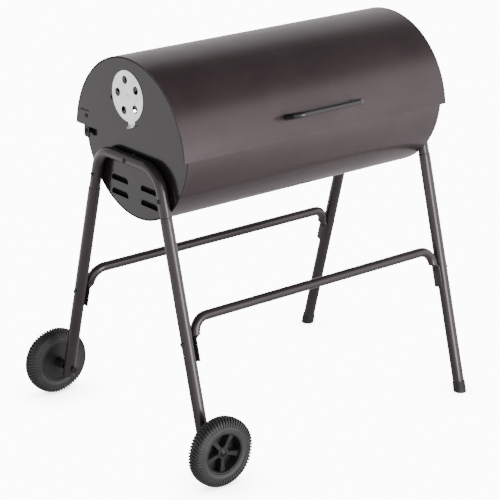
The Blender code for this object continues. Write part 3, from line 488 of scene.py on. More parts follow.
PAN_CLEARANCE = 0.0005
PAN_FOLD = 0.0032
PAN_FLANGE = 0.012
PAN_CUT = 0.06
PAN_SIDES = 144
PAN_SHARP = 21.0


def pan(end, centre, radius, half, above):
    """A pressed end: a flat disc with a rounded fold and a flange, cut at the split."""
    rim = radius - SHEET - PAN_CLEARANCE
    small = PAN_FOLD - SHEET
    outline = [(0.0, 0.0), (0.0, rim - PAN_FOLD)]
    for i in range(1, 6):
        angle = math.pi / 2 * i / 5
        outline.append((PAN_FOLD - PAN_FOLD * math.cos(angle), rim - PAN_FOLD + PAN_FOLD * math.sin(angle)))
    outline += [(PAN_FLANGE, rim), (PAN_FLANGE, rim - SHEET), (PAN_FOLD, rim - SHEET)]
    for i in range(1, 4):
        angle = math.pi / 2 * (1 - i / 3)
        outline.append((PAN_FOLD - small * math.cos(angle), rim - PAN_FOLD + small * math.sin(angle)))
    outline.append((SHEET, 0.0))
    face = Vector((centre.x + end * half, centre.y, centre.z))
    bm = bmesh.new()
    lathe(bm, face, Vector((-end, 0, 0)), outline, PAN_SIDES)
    keep = 2.5 * radius
    low_z, high_z = (SPLIT - keep, SPLIT) if above else (SPLIT, SPLIT + keep)
    cutter = bmesh.new()
    block(cutter, (face.x - PAN_CUT, centre.y - keep, low_z), (face.x + PAN_CUT, centre.y + keep, high_z))
    return carve(bm, [cutter])


# ---------------------------------------------------------------- fasteners
# Each size is (head thickness, head radius), shank radius, (nut thickness, nut radius).
FRAME_BOLT = ((0.0030, 0.0054), 0.0028, (0.0040, 0.0050))
PIVOT_BOLT = ((0.0030, 0.0056), 0.0030, (0.0042, 0.0052))
STRAP_BOLT = ((0.0028, 0.0052), 0.0025, (0.0036, 0.0046))
AXLE_BOLT = ((0.0045, 0.0094), 0.0049, (0.0065, 0.0085))
HANDLE_SCREW = ((0.0026, 0.0048), 0.0024, (0.0, 0.0))
SCREW_TIP = 0.0006
NUT_BACK = 0.0008
NUT_CHAMFER = 0.0005
CROSS_DEPTH = 0.62
FASTENERS = {}


def cross_recess(head_t, head_r):
    """Two tapered slots that cross in a screw head."""
    slots = []
    for side, other in ((Y_AXIS, Z_AXIS), (Z_AXIS, Y_AXIS)):
        wide = other * (head_r * 0.10)
        rings = []
        for depth, share in ((-0.001, 1.1), (head_t * CROSS_DEPTH, 0.55)):
            long = side * (head_r * 0.52 * share)
            corners = (-long - wide, long - wide, long + wide, wide - long)
            rings.append([X_AXIS * depth + corner for corner in corners])
        tool = bmesh.new()
        loft(tool, rings)
        slots.append(tool)
    return slots


def fastener_mesh(length, head, shank_r, nut, recess):
    """A pan-head screw along +X with a washer, shank and six-sided nut, made once for each size."""
    key = (round(length, 5), head, shank_r, nut, recess)
    if key in FASTENERS:
        return FASTENERS[key]
    head_t, head_r = head
    nut_t, nut_r = nut
    origin = Vector((0, 0, 0))
    outline = [(0.0, 0.0)]
    for i in range(1, 9):
        angle = math.pi / 2 * i / 8
        outline.append((head_t * 0.78 * (1 - math.cos(angle)), head_r * 0.90 * math.sin(angle)))
    outline += [(head_t * 0.80, head_r * 0.93), (head_t * 0.86, head_r), (head_t - 0.0001, head_r)]
    outline += [(head_t, head_r * 0.96), (head_t, shank_r), (length - SCREW_TIP, shank_r)]
    outline += [(length, shank_r - SCREW_TIP), (length, 0.0)]
    bm = bmesh.new()
    lathe(bm, origin, X_AXIS, outline, 32)
    bm = carve(bm, cross_recess(head_t, head_r) if recess else [])
    if nut_t:
        start = length - nut_t
        stop = length - NUT_BACK
        outer = [(start, shank_r), (start, nut_r * 0.90), (start + NUT_CHAMFER, nut_r)]
        outer += [(stop - NUT_CHAMFER, nut_r), (stop, nut_r * 0.90), (stop, shank_r)]
        lathe(bm, origin, X_AXIS, outer, 6)
    bmesh.ops.recalc_face_normals(bm, faces=bm.faces)
    mesh = bpy.data.meshes.new("fastener")
    bm.to_mesh(mesh)
    bm.free()
    FASTENERS[key] = mesh
    return mesh


def fastener(node, body, head_way, size, recess=True, line=None):
    """A detailed screw in the place of a CAD bolt. head_way points out of its head."""
    if line is None:
        low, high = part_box(node)
        length = max(high - low)
        start = (low + high) / 2 + head_way * (length / 2)
    else:
        start, length = line
    mesh = fastener_mesh(length, *size, recess).copy()
    turn = (-head_way).to_track_quat("X", "Z").to_matrix().to_4x4()
    mesh.transform(Matrix.Translation(start) @ turn)
    mesh.name = node
    obj = bpy.data.objects.new(f"{node}_screw", mesh)
    bpy.context.scene.collection.objects.link(obj)
    mesh.materials.clear()
    mesh.materials.append(BOLTS)
    mesh.shade_smooth()
    mesh.set_sharp_from_angle(angle=math.radians(32))
    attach(obj, body)
    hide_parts(node)


# ---------------------------------------------------------------- ends
FRAME_HOLE_R = 0.0031
PIVOT_HOLE_R = 0.0033
STRAP_HOLE_R = 0.0028
STOP_HOLE_R = 0.0023
HOLE_REACH = 0.012
PAD_HOLE_REACH = 0.03
PAD_R = 0.0112
PAD_DOME = ((0.0008, 0.0110), (0.0011, 0.0105), (0.0015, 0.0094), (0.0018, 0.0080), (0.0019, 0.0066))
LOUVRE_LONG = 0.066
LOUVRE_TALL = 0.015
LOUVRE_DEEP = 0.0080
LOUVRE_OFFSET = 0.058
LOUVRE_ROWS = (0.5900, 0.6245)
LOUVRE_CORNER = 0.75


def louvre_outline(y, z, grow):
    """A long slot with rounded upper corners, as (y, z) points."""
    half = LOUVRE_LONG / 2 + grow
    top = z + LOUVRE_TALL + grow
    corner = LOUVRE_TALL * LOUVRE_CORNER
    points = [(y - half, z)]
    for centre_y, first in ((y - half + corner, math.pi), (y + half - corner, math.pi / 2)):
        for i in range(7):
            angle = first - math.pi / 2 * i / 6
            points.append((centre_y + corner * math.cos(angle), top - corner + corner * math.sin(angle)))
    points.append((y + half, z))
    return points


def louvre_wedge(end, face_x, y, z, grow, start, depth, skin):
    """The outline pushed inwards to a slope: nothing at the top, full depth at the bottom."""
    outline = louvre_outline(y, z, grow)
    top = z + LOUVRE_TALL + grow
    outer = [Vector((face_x - end * start, py, pz)) for py, pz in outline]
    inner = []
    for py, pz in outline:
        slope = (top - pz) / (LOUVRE_TALL + grow)
        inner.append(Vector((face_x - end * (skin + depth * slope), py, pz)))
    bm = bmesh.new()
    loft(bm, [outer, inner])
    return bm


def louvre_mouth(end, face_x, y, z):
    """The open slot below a louvre's deep edge."""
    near = face_x - end * (SHEET + 0.0001)
    far = face_x - end * (LOUVRE_DEEP - 0.0002)
    half = LOUVRE_LONG / 2
    bm = bmesh.new()
    block(bm, (min(near, far), y - half, z - 0.004), (max(near, far), y + half, z + 0.0004))
    return bm


def bowl_end(end, side):
    """A bowl end with louvres, raised pads for the yoke bolts and the hinge pin's hole."""
    bm = pan(end, BOWL_C, BOWL_R, BOWL_HALF, False)
    face_x = BOWL_C.x + end * BOWL_HALF
    out = X_AXIS * end
    adds = []
    cuts = []
    for z in LOUVRE_ROWS:
        for y in (-LOUVRE_OFFSET, LOUVRE_OFFSET):
            adds.append(louvre_wedge(end, face_x, y, z, SHEET, SHEET * 0.5, LOUVRE_DEEP + SHEET, SHEET * 0.9))
            cuts.append(louvre_wedge(end, face_x, y, z, 0.0, -0.004, LOUVRE_DEEP, -0.0002))
            cuts.append(louvre_mouth(end, face_x, y, z))
    for place in ("top", "front", "rear"):
        spot = middle(f"yoke_bolt_{place}_{side}")
        base = Vector((face_x - end * SHEET / 2, spot.y, spot.z))
        dome = bmesh.new()
        lathe(dome, base, out, [(0.0, 0.0), (0.0, PAD_R), *PAD_DOME, (PAD_DOME[-1][0], 0.0)], 40)
        adds.append(dome)
        cuts.append(drill(base, out, PAD_HOLE_REACH, FRAME_HOLE_R))
    pin = middle(f"pivot_bolt_{side}")
    cuts.append(drill(Vector((face_x, pin.y, pin.z)), out, HOLE_REACH, PIVOT_HOLE_R))
    bm = carve(bm, adds, "UNION")
    bm = carve(bm, cuts)
    finish_piece(f"bowl_plate_{side}", bm, ENDS, ROOT, f"bowl_end_{side}", PAN_SHARP)


VENTS = 5
VENT_R = 0.0098
VENT_CIRCLE = 0.038
DISC_START = 4.0
PLATE_START = 19.0
SLOT_Y = 0.1770
SLOT_HALF = 0.017
SLOT_TALL = 0.0034
SLOT_DROP = 0.0009


def vents(start, x):
    tools = []
    for i in range(VENTS):
        angle = math.radians(start + 360.0 * i / VENTS)
        y = DAMPER_AXIS.y + VENT_CIRCLE * math.cos(angle)
        z = DAMPER_AXIS.z + VENT_CIRCLE * math.sin(angle)
        tools.append(drill(Vector((x, y, z)), X_AXIS, HOLE_REACH, VENT_R, 40))
    return tools


def lid_end(end, side):
    """A lid end with a slot for the hinge strap's tab and, at the damper, its air holes."""
    bm = pan(end, LID_C, LID_R, LID_HALF, True)
    face_x = LID_C.x + end * LID_HALF
    slot_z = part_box(f"hinge_strap_{side}")[1].z - SLOT_DROP
    half = Vector((HOLE_REACH / 2, SLOT_HALF, SLOT_TALL / 2))
    centre = Vector((face_x, SLOT_Y, slot_z))
    slot = bmesh.new()
    block(slot, centre - half, centre + half)
    bolt = middle(f"strap_bolt_{side}")
    cuts = [slot, drill(Vector((face_x, bolt.y, bolt.z)), X_AXIS, HOLE_REACH, STRAP_HOLE_R)]
    if end < 0:
        stop = middle("damper_stop")
        cuts += vents(PLATE_START, face_x)
        cuts.append(drill(Vector((face_x, DAMPER_AXIS.y, DAMPER_AXIS.z)), X_AXIS, HOLE_REACH, PIVOT_HOLE_R))
        cuts.append(drill(Vector((face_x, stop.y, stop.z)), X_AXIS, HOLE_REACH, STOP_HOLE_R))
    bm = carve(bm, cuts)
    finish_piece(f"lid_plate_{side}", bm, ENDS, LID, f"lid_end_{side}", PAN_SHARP)


# ---------------------------------------------------------------- damper and handle
DISC_R = 0.060
DISC_THICK = 0.0012
DISC_EDGE = 0.00035
TAB_ANGLE = -104.0
TAB_WIDE = 0.025
TAB_FLAT = 0.0635
TAB_BEND_R = 0.005
TAB_TURN = 66.0
TAB_STRAIGHT = 0.0088
TAB_ROOT = ((0.010, 1.25), (0.004, 1.12))
TAB_TIP = ((0.3, 0.99), (0.62, 0.94), (0.84, 0.84), (1.0, 0.62))


def damper():
    """The round plate with its air holes, pivot hole and bent tab."""
    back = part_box("damper_disc")[1].x
    centre = Vector((back, DAMPER_AXIS.y, DAMPER_AXIS.z))
    out = -X_AXIS
    outline = [(0.0, 0.0), (0.0, DISC_R - DISC_EDGE), (DISC_EDGE, DISC_R), (DISC_THICK - DISC_EDGE, DISC_R)]
    outline += [(DISC_THICK, DISC_R - DISC_EDGE), (DISC_THICK, 0.0)]
    bm = bmesh.new()
    lathe(bm, centre, out, outline, 96)
    angle = math.radians(TAB_ANGLE)
    along = Vector((0, math.cos(angle), math.sin(angle)))
    side = Vector((0, -math.sin(angle), math.cos(angle)))
    path = [(DISC_R - back_off, 0.0, 0.0, wide) for back_off, wide in TAB_ROOT]
    path.append((TAB_FLAT, 0.0, 0.0, 1.0))
    last = math.radians(TAB_TURN)
    for i in range(1, 6):
        turn = last * i / 5
        path.append((TAB_FLAT + TAB_BEND_R * math.sin(turn), TAB_BEND_R * (1 - math.cos(turn)), turn, 1.0))
    bend_reach, bend_lift = path[-1][:2]
    for share, wide in TAB_TIP:
        run = TAB_STRAIGHT * share
        path.append((bend_reach + run * math.cos(last), bend_lift + run * math.sin(last), last, wide))
    rings = []
    for reach, lift, turn, wide in path:
        half = side * (TAB_WIDE / 2 * wide)
        point = centre + along * reach + out * lift
        skin = (out * math.cos(turn) - along * math.sin(turn)) * DISC_THICK
        rings.append([point - half, point + half, point + half + skin, point - half + skin])
    tab = bmesh.new()
    loft(tab, rings)
    bm = carve(bm, [tab], "UNION")
    bm = carve(bm, vents(DISC_START, back) + [drill(centre, X_AXIS, HOLE_REACH, PIVOT_HOLE_R)])
    finish_piece("damper_plate", bm, ZINC, DAMPER, "damper_disc", 28.0)


HANDLE_R = 0.0075
HANDLE_STAND = 0.046
HANDLE_BEND = 0.017
HANDLE_ANGLE = math.radians(18.6)
HANDLE_OUT = Vector((0, -math.cos(HANDLE_ANGLE), math.sin(HANDLE_ANGLE)))
HANDLE_STEP = 0.004
SCREW_LONG = 0.0160


def handle():
    """The bent rod, standing on the lid on two ends, and the screws that hold it from inside."""
    low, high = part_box("handle")
    axis = Vector((0, LID_C.y, LID_C.z))
    feet = [axis + X_AXIS * x + HANDLE_OUT * (LID_R + GAP) for x in (low.x + HANDLE_R, high.x - HANDLE_R)]
    step = HANDLE_OUT * HANDLE_STEP
    stand = HANDLE_OUT * (HANDLE_STAND - GAP)
    left, right = feet
    line = [(left, HANDLE_OUT), (left + step, HANDLE_OUT)]
    line += bend(left + stand, HANDLE_OUT, X_AXIS, HANDLE_BEND, 14)
    line += bend(right + stand, X_AXIS, -HANDLE_OUT, HANDLE_BEND, 14)
    line += [(right + step, -HANDLE_OUT), (right, -HANDLE_OUT)]
    bm = bmesh.new()
    sweep(bm, [(p, t, HANDLE_R, HANDLE_R) for p, t in line], X_AXIS.cross(HANDLE_OUT), 32, 0.0)
    finish_piece("handle_bar", bm, HANDLE, LID, "handle")
    inside = SHEET + 2 * GAP + HANDLE_SCREW[0][0]
    for side, foot in zip(("left", "right"), feet):
        shank = (foot - HANDLE_OUT * inside, SCREW_LONG)
        fastener(f"handle_screw_{side}", LID, -HANDLE_OUT, HANDLE_SCREW, line=shank)


# ---------------------------------------------------------------- legs and braces
LEG_TOP_Y = 0.1085
LEG_SLOPE = 0.2665
LEG_AXIS_Z = 0.719
UPPER_R = 0.0132
LOWER_R = 0.0145
TUBE_WALL = 0.0011
YOKE_Z = 0.695
YOKE_BEND = 0.062
YOKE_END_Z = 0.5525
SEAM_Z = 0.5925
WHEEL_LEG_END_Z = 0.064
FOOT_GAP = 0.0075
BRACE_R = 0.0115
BRACE_Z = 0.360
BRACE_BEND = 0.037
BRACE_END_Z = 0.266
FLAT_THICK = 0.0034
FLAT_WIDE = 0.0142
FLAT_STEP = 0.014
FLAT_FULL = 0.13


def leg_y(z):
    """Distance of a leg's axis from the middle plane at a height."""
    return LEG_TOP_Y + LEG_SLOPE * (LEG_AXIS_Z - z)


def leg_down(side):
    """The way down a front (-1) or rear (1) leg."""
    return Vector((0, side * LEG_SLOPE, -1)).normalized()


def yoke(name):
    """The upper tube of a leg frame, bent twice."""
    x = middle(f"yoke_{name}").x
    corner_y = leg_y(YOKE_Z)
    end_y = leg_y(YOKE_END_Z)
    up_front = -leg_down(-1)
    line = [(Vector((x, -end_y, YOKE_END_Z)), up_front)]
    line += bend(Vector((x, -corner_y, YOKE_Z)), up_front, Y_AXIS, YOKE_BEND, 18)
    line += bend(Vector((x, corner_y, YOKE_Z)), Y_AXIS, leg_down(1), YOKE_BEND, 18)
    line.append((Vector((x, end_y, YOKE_END_Z)), leg_down(1)))
    bm = bmesh.new()
    sweep(bm, [(p, t, UPPER_R, UPPER_R) for p, t in line], X_AXIS, 40, TUBE_WALL)
    finish_piece(f"yoke_tube_{name}", bm, LEGS, ROOT, f"yoke_{name}")


def lower_leg(end, side, node):
    """The lower tube: its mouth is rolled over the yoke tube and has a pressed ring below it."""
    x = middle(node).x
    down = leg_down(side)
    start = Vector((x, side * leg_y(SEAM_Z), SEAM_Z))
    if end < 0:
        stop = Vector((x, side * leg_y(WHEEL_LEG_END_Z), WHEEL_LEG_END_Z))
    else:
        stop = Vector((x, side * leg_y(0.0), 0.0)) - down * FOOT_GAP
    length = (stop - start).length
    r = LOWER_R
    bore = UPPER_R + GAP
    outline = [(0.0, bore), (0.0, r - 0.0005), (0.0005, r - 0.0001), (0.0016, r + 0.0002), (0.0028, r)]
    outline += [(0.0038, r - 0.0004), (0.0048, r - 0.0004), (0.0060, r), (0.02, r)]
    outline += [(length - 0.0006, r), (length, r - 0.0005), (length, bore)]
    bm = bmesh.new()
    lathe(bm, start, down, outline, 40, X_AXIS)
    finish_piece(f"{node}_tube", bm, LEGS, ROOT, node, 50.0)


def brace_end(corner, end, down):
    """Half of a brace: the bend and the straight run below it, which flattens towards the leg."""
    along = X_AXIS * end
    run = [(p, t, BRACE_R, BRACE_R) for p, t in bend(corner, along, down, BRACE_BEND, 14)]
    start = run[-1][0]
    reach = (start.z - BRACE_END_Z) / -down.z
    for share in [FLAT_STEP * i for i in range(1, 12)] + [1.0]:
        blend = min(1.0, share / FLAT_FULL)
        flat = blend * blend * (3 - 2 * blend)
        across = BRACE_R + (FLAT_WIDE - BRACE_R) * flat
        within = BRACE_R + (FLAT_THICK - BRACE_R) * flat
        point = start + down * (reach * share) + along * (BRACE_R - within)
        run.append((point, down, across, within))
    return run


def brace(side, name):
    """A long cross tube, bent down along the legs and flattened at both ends."""
    low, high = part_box(f"brace_{name}")
    down = leg_down(side)
    bend_x = (high.x - low.x) / 2 - BRACE_R
    corner = Vector(((low.x + high.x) / 2, side * leg_y(BRACE_Z), BRACE_Z))
    left = brace_end(corner - X_AXIS * bend_x, -1, down)
    stations = [(p, -t, a, w) for p, t, a, w in reversed(left)]
    stations += brace_end(corner + X_AXIS * bend_x, 1, down)
    bm = bmesh.new()
    sweep(bm, stations, X_AXIS.cross(down).normalized(), 32, TUBE_WALL)
    finish_piece(f"brace_tube_{name}", bm, LEGS, ROOT, f"brace_{name}", 50.0)


CAP_TOP = 0.0270
CAP_BOTTOM = -0.012
CAP_SEAT = 0.0070
CAP_RIBS = 4
CAP_RIB_START = 0.006
CAP_RIB_PITCH = 0.0045
CAP_GROOVE = 0.0006


def foot_cap(side, name):
    """A ribbed cap over the lower end of a leg, cut flat on the floor."""
    node = f"foot_cap_{name}"
    low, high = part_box(node)
    ground = Vector(((low.x + high.x) / 2, side * leg_y(0.0), 0.0))
    cap_r = (high.x - low.x) / 2
    groove_r = cap_r - CAP_GROOVE
    bore = LOWER_R + GAP
    outline = [(CAP_BOTTOM, 0.0), (CAP_BOTTOM, groove_r)]
    for i in range(CAP_RIBS):
        z = CAP_RIB_START + CAP_RIB_PITCH * i
        outline += [(z, groove_r), (z + 0.0006, cap_r), (z + 0.0022, cap_r), (z + 0.0028, groove_r)]
    outline += [(CAP_TOP - 0.0012, groove_r), (CAP_TOP, cap_r - 0.0014), (CAP_TOP, bore)]
    outline += [(CAP_SEAT, bore), (CAP_SEAT, 0.0)]
    bm = bmesh.new()
    lathe(bm, ground, -leg_down(side), outline, 48, X_AXIS)
    floor_block = bmesh.new()
    half = Vector((0.05, 0.05, 0.0))
    block(floor_block, ground - half - Z_AXIS * 0.05, ground + half)
    bm = carve(bm, [floor_block])
    finish_piece(f"{node}_moulding", bm, CAP, ROOT, node)


# ---------------------------------------------------------------- wheels
LUGS = 64
LUG_STEPS = 10
LUG_TALL = 0.0041
LUG_ROOT = -0.0008
LUG_TOP_SHARE = 0.84
LUG_SHOULDER_LOSS = 0.10
# Half width, its loss at the shoulder and the lean round the tyre, as shares of the pitch.
LUG_WIDE = 0.29
LUG_NARROWING = 0.04
LUG_LEAN = 0.95
LUG_LEAN_RATE = 2.2
CARCASS_SIDES = 138
CROWN_R = 0.0798
TYRE_BORE = 0.0510
# The carcass from its middle to the bead: share of the half width, radius below the crown.
CARCASS = (
    (0.0, 0.0), (0.35, 0.0002), (0.58, 0.0009), (0.74, 0.0026), (0.84, 0.0056), (0.890, 0.0094),
    (0.915, 0.0126), (0.925, 0.0168), (0.935, 0.0186), (0.960, 0.0194), (0.965, 0.0206), (0.940, 0.0218),
    (0.900, 0.0242), (0.870, 0.0266),
)
CARCASS_BEAD = 0.860
# The line the lugs follow: share of the half width, radius below the crown, outward slope in degrees.
TREAD = (
    (0.0, 0.0, 0.0), (0.40, 0.0004, 6.0), (0.66, 0.0018, 24.0), (0.82, 0.0050, 52.0),
    (0.885, 0.0090, 76.0), (0.91, 0.0120, 86.0), (0.92, 0.0168, 88.0),
)


def tyre_outline(half):
    """Outline of the carcass from bead to bead: (distance from the middle plane, radius)."""
    right = [(share * half, CROWN_R - drop) for share, drop in CARCASS]
    right.append((CARCASS_BEAD * half, TYRE_BORE))
    left = [(-a, r) for a, r in right[1:]]
    return right + left[::-1]


def crown_point(share, half):
    """Distance, radius and slope on the tread, share 0 at the middle and 1 low on the shoulder."""
    position = share * (len(TREAD) - 1)
    index = min(int(position), len(TREAD) - 2)
    part = position - index
    wide, drop, slope = (a + (b - a) * part for a, b in zip(TREAD[index], TREAD[index + 1]))
    return wide * half, CROWN_R - drop, math.radians(slope)


def lug(centre, out, up, start, half):
    """One lug across the tyre, as a solid that sweeps round the tread from side to side."""
    pitch = 2 * math.pi / LUGS
    sections = []
    for step in range(-LUG_STEPS, LUG_STEPS + 1):
        share = abs(step) / LUG_STEPS
        a, r, slope = crown_point(share, half)
        a = math.copysign(a, step)
        angle = start + pitch * LUG_LEAN * min(1.0, share * LUG_LEAN_RATE)
        wide = pitch * (LUG_WIDE - LUG_NARROWING * share)
        narrow = wide * LUG_TOP_SHARE
        tall = LUG_TALL * (1.0 - LUG_SHOULDER_LOSS * share)
        corners = []
        for turn, height in ((-wide, LUG_ROOT), (wide, LUG_ROOT), (narrow, tall), (-narrow, tall)):
            spoke = X_AXIS * math.cos(angle + turn) + up * math.sin(angle + turn)
            shift = math.copysign(height * math.sin(slope), a) if share else 0.0
            across = max(-half, min(half, a + shift))
            corners.append(centre + out * across + spoke * (r + height * math.cos(slope)))
        sections.append(corners)
    return sections


def tyre(side, name):
    """A smooth carcass with lugs across its tread."""
    node = f"tyre_{name}"
    low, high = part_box(node)
    centre = (low + high) / 2
    half = (high.y - low.y) / 2
    out = Y_AXIS * side
    up = out.cross(X_AXIS)
    bm = bmesh.new()
    lathe(bm, centre, out, tyre_outline(half), CARCASS_SIDES, X_AXIS)
    for i in range(LUGS):
        loft(bm, lug(centre, out, up, 2 * math.pi / LUGS * (i + 0.5), half))
    finish_piece(f"{node}_tread", bm, TYRE, f"wheel_{name}", node, 30.0, merge=False)


RIM_R = 0.0507
RIM_HALF = 0.0165
RIM_INNER = ((0.0, 0.0480), (0.001, 0.0467), (0.004, 0.0460), (0.0125, 0.0450))
RIM_EDGE = 0.0008
WEB = ((-0.0125, 0.0), (-0.0125, 0.0465), (-0.0100, 0.0460), (-0.0100, 0.0))
HUB_IN = -0.0425
HUB_OUT = 0.0110
HUB_R = 0.0140
SPOKES = 5
SPOKE_STATIONS = (
    (0.0080, 0.0050, 0.0095), (0.0180, 0.0052, 0.0088), (0.0320, 0.0062, 0.0082), (0.0464, 0.0080, 0.0088),
)
SPOKE_SECTION = (
    (-1, -0.8), (-0.8, -1), (0.8, -1), (1, -0.8), (1, 0.8), (0.8, 1), (-0.8, 1), (-1, 0.8),
)
AXLE_BORE = 0.0053
AXLE_REACH = 0.12


def spoke(centre, ray, out):
    """One tapered spoke with chamfered corners, from the hub to the rim."""
    across = ray.cross(out)
    rings = []
    for reach, wide, deep in SPOKE_STATIONS:
        spot = centre + ray * reach
        rings.append([spot + across * (wide * a) + out * (deep * d) for a, d in SPOKE_SECTION])
    bm = bmesh.new()
    loft(bm, rings)
    return bm


def rim(side, name):
    """A moulded rim with a web, a long hub and five spokes."""
    node = f"rim_{name}"
    centre = middle(f"tyre_{name}")
    out = Y_AXIS * side
    outline = [(a - RIM_HALF, r) for a, r in RIM_INNER]
    outline += [(RIM_HALF - a, r) for a, r in RIM_INNER[::-1]]
    outline += [(RIM_HALF, RIM_R - RIM_EDGE), (RIM_HALF - RIM_EDGE, RIM_R)]
    outline += [(RIM_EDGE - RIM_HALF, RIM_R), (-RIM_HALF, RIM_R - RIM_EDGE)]
    bm = bmesh.new()
    lathe(bm, centre, out, outline, 96, X_AXIS)
    web = bmesh.new()
    lathe(web, centre, out, WEB, 96, X_AXIS)
    steps = [(HUB_IN, 0.0), (HUB_IN, 0.0106), (HUB_IN + 0.0006, 0.0112), (-0.0166, 0.0126), (-0.0082, HUB_R)]
    steps += [(HUB_OUT - 0.0010, HUB_R), (HUB_OUT, HUB_R - 0.0010), (HUB_OUT, 0.0)]
    hub = bmesh.new()
    lathe(hub, centre, out, steps, 48, X_AXIS)
    tools = [web, hub]
    for i in range(SPOKES):
        angle = math.pi / 2 + 2 * math.pi / SPOKES * (i + 0.5)
        tools.append(spoke(centre, Vector((math.cos(angle), 0, math.sin(angle))), out))
    bm = carve(bm, tools, "UNION")
    bm = carve(bm, [drill(centre, out, AXLE_REACH, AXLE_BORE)])
    finish_piece(f"{node}_moulding", bm, HUB, f"wheel_{name}", node, 34.0)


# ---------------------------------------------------------------- grids
WIRE_SIDES = 12
WIRE_TIP = 0.55
LOOP_CORNER = 0.012
# Frame wire radius, close wire radius, pitch and number of cross wires.
COOKING_WIRES = (0.0025, 0.0018, 0.0140, 2)
CHARCOAL_WIRES = (0.0030, 0.0025, 0.0245, 3)


def wire(bm, a, b, radius):
    """A straight wire with chamfered tips."""
    direction = (b - a).normalized()
    side, up = square_to(direction)
    tip = direction * (radius * 0.6)
    stations = ((a, WIRE_TIP), (a + tip, 1.0), (b - tip, 1.0), (b, WIRE_TIP))
    loft(bm, [ring(point, side, up, radius * r, radius * r, WIRE_SIDES) for point, r in stations])


def wire_loop(bm, x0, x1, y0, y1, z, radius):
    """A rounded rectangle of wire."""
    spots = [(Vector((x1, y1, z)), Y_AXIS, -X_AXIS), (Vector((x0, y1, z)), -X_AXIS, -Y_AXIS)]
    spots += [(Vector((x0, y0, z)), -Y_AXIS, X_AXIS), (Vector((x1, y0, z)), X_AXIS, Y_AXIS)]
    rings = []
    for point, coming, going in spots:
        for p, t in bend(point, coming, going, LOOP_CORNER, 6):
            rings.append(ring(p, t.cross(Z_AXIS), Z_AXIS, radius, radius, WIRE_SIDES))
    loft(bm, rings, closed=True)


def wire_grid(name, node, material, slot, frame_r, wire_r, pitch, cross):
    """Welded wire grid: a rounded frame, close wires from front to back and cross wires below them."""
    low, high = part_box(node)
    z = low.z + frame_r
    x0, x1 = low.x + frame_r, high.x - frame_r
    y0, y1 = low.y + frame_r, high.y - frame_r
    bm = bmesh.new()
    wire_loop(bm, x0, x1, y0, y1, z, frame_r)
    count = round((x1 - x0) / pitch)
    for i in range(1, count):
        x = x0 + (x1 - x0) * i / count
        wire(bm, Vector((x, y0, z)), Vector((x, y1, z)), wire_r)
    under = z - (wire_r + frame_r * 0.9) * 0.9
    for i in range(cross):
        y = y0 + (y1 - y0) * (i + 0.5) / cross
        wire(bm, Vector((x0, y, under)), Vector((x1, y, under)), frame_r)
    finish_piece(name, bm, material, ROOT, node, 40.0, merge=False)


# ---------------------------------------------------------------- carried-over pieces
SOFT_EDGE = 0.0003


def dress(node, material, width=0.0):
    """A CAD piece kept in its own shape, with a new material and softened edges if asked for."""
    obj = frame["nodes"][node]
    obj.data.materials.clear()
    obj.data.materials.append(material)
    obj.data.shade_smooth()
    obj.data.set_sharp_from_angle(angle=math.radians(30))
    if width:
        weld = obj.modifiers.new("weld", "WELD")
        weld.merge_threshold = 0.00001
        soften = obj.modifiers.new("soften", "BEVEL")
        soften.width = width
        soften.segments = 2
        soften.limit_method = "ANGLE"
        soften.angle_limit = math.radians(35)
        soften.harden_normals = True


def build():
    shells()
    for end, name in ((-1, "left"), (1, "right")):
        out = X_AXIS * end
        bowl_end(end, name)
        lid_end(end, name)
        yoke(name)
        for place in ("top", "front", "rear"):
            fastener(f"yoke_bolt_{place}_{name}", ROOT, out, FRAME_BOLT)
        fastener(f"pivot_bolt_{name}", ROOT, out, PIVOT_BOLT)
        fastener(f"strap_bolt_{name}", LID, out, STRAP_BOLT)
        dress(f"pivot_spacer_{name}", BOLTS)
        dress(f"hinge_strap_{name}", STRAPS, SOFT_EDGE)
        wire_grid(f"cooking_wires_{name}", f"cooking_grid_{name}", WIRE, "bright_wire", *COOKING_WIRES)
        for side, place in ((-1, "front"), (1, "rear")):
            lower_leg(end, side, f"leg_{place}_{name}")
            fastener(f"brace_bolt_{place}_{name}", ROOT, -out, FRAME_BOLT)
    for side, name in ((-1, "front"), (1, "rear")):
        brace(side, name)
        foot_cap(side, name)
        tyre(side, name)
        rim(side, name)
        fastener(f"axle_bolt_{name}", ROOT, Y_AXIS * side, AXLE_BOLT, recess=False)
        dress(f"grid_rail_{name}", ENAMEL, SOFT_EDGE)
    wire_grid("charcoal_wires", "charcoal_grate", ENAMEL, "black_grate", *CHARCOAL_WIRES)
    damper()
    dress("damper_rivet", ZINC)
    dress("damper_stop", BOLTS)
    handle()


# ---------------------------------------------------------------- stage
FLOOR_SIZE = 16.0
FLOOR_SEEN = 12.0
# Share of the floor's glow to light and reflections near the grill: a painted shadow of the grill on the
# floor.
FLOOR_NEAR_SHADOW = 0.55
FLOOR_FRONT = Vector((0.35, -0.94, 0.0))
FLOOR_LEFT = Vector((-0.616, 0.788, 0.0))
# Reach and depth of the painted contact shadow on the floor, seen by the camera.
SHADE_REACH = 0.12
SHADE_DARKEST = 0.25
WALL_GLOW = 2.1
WALL_BEHIND = 0.46
WALL_TOP = 36.0
CEILING_GLOW = 0.27
BRIGHT_WALL = Vector((0.53, -0.85, 0.0))
WALL_RISE = Vector((0.766, 0.643, 0.0))
PANEL_PLACE = Vector((0.11, -2.1, 0.55))
PANEL_SIZE = (1.0, 1.1)
PANEL_POWER = 30.0
CAMERA_PLACE = (-2.8581, -3.5748, 2.0489)
CAMERA_DOWN = 0.3473
CAMERA_TURN = -0.6727
CAMERA_LENS = 142.89


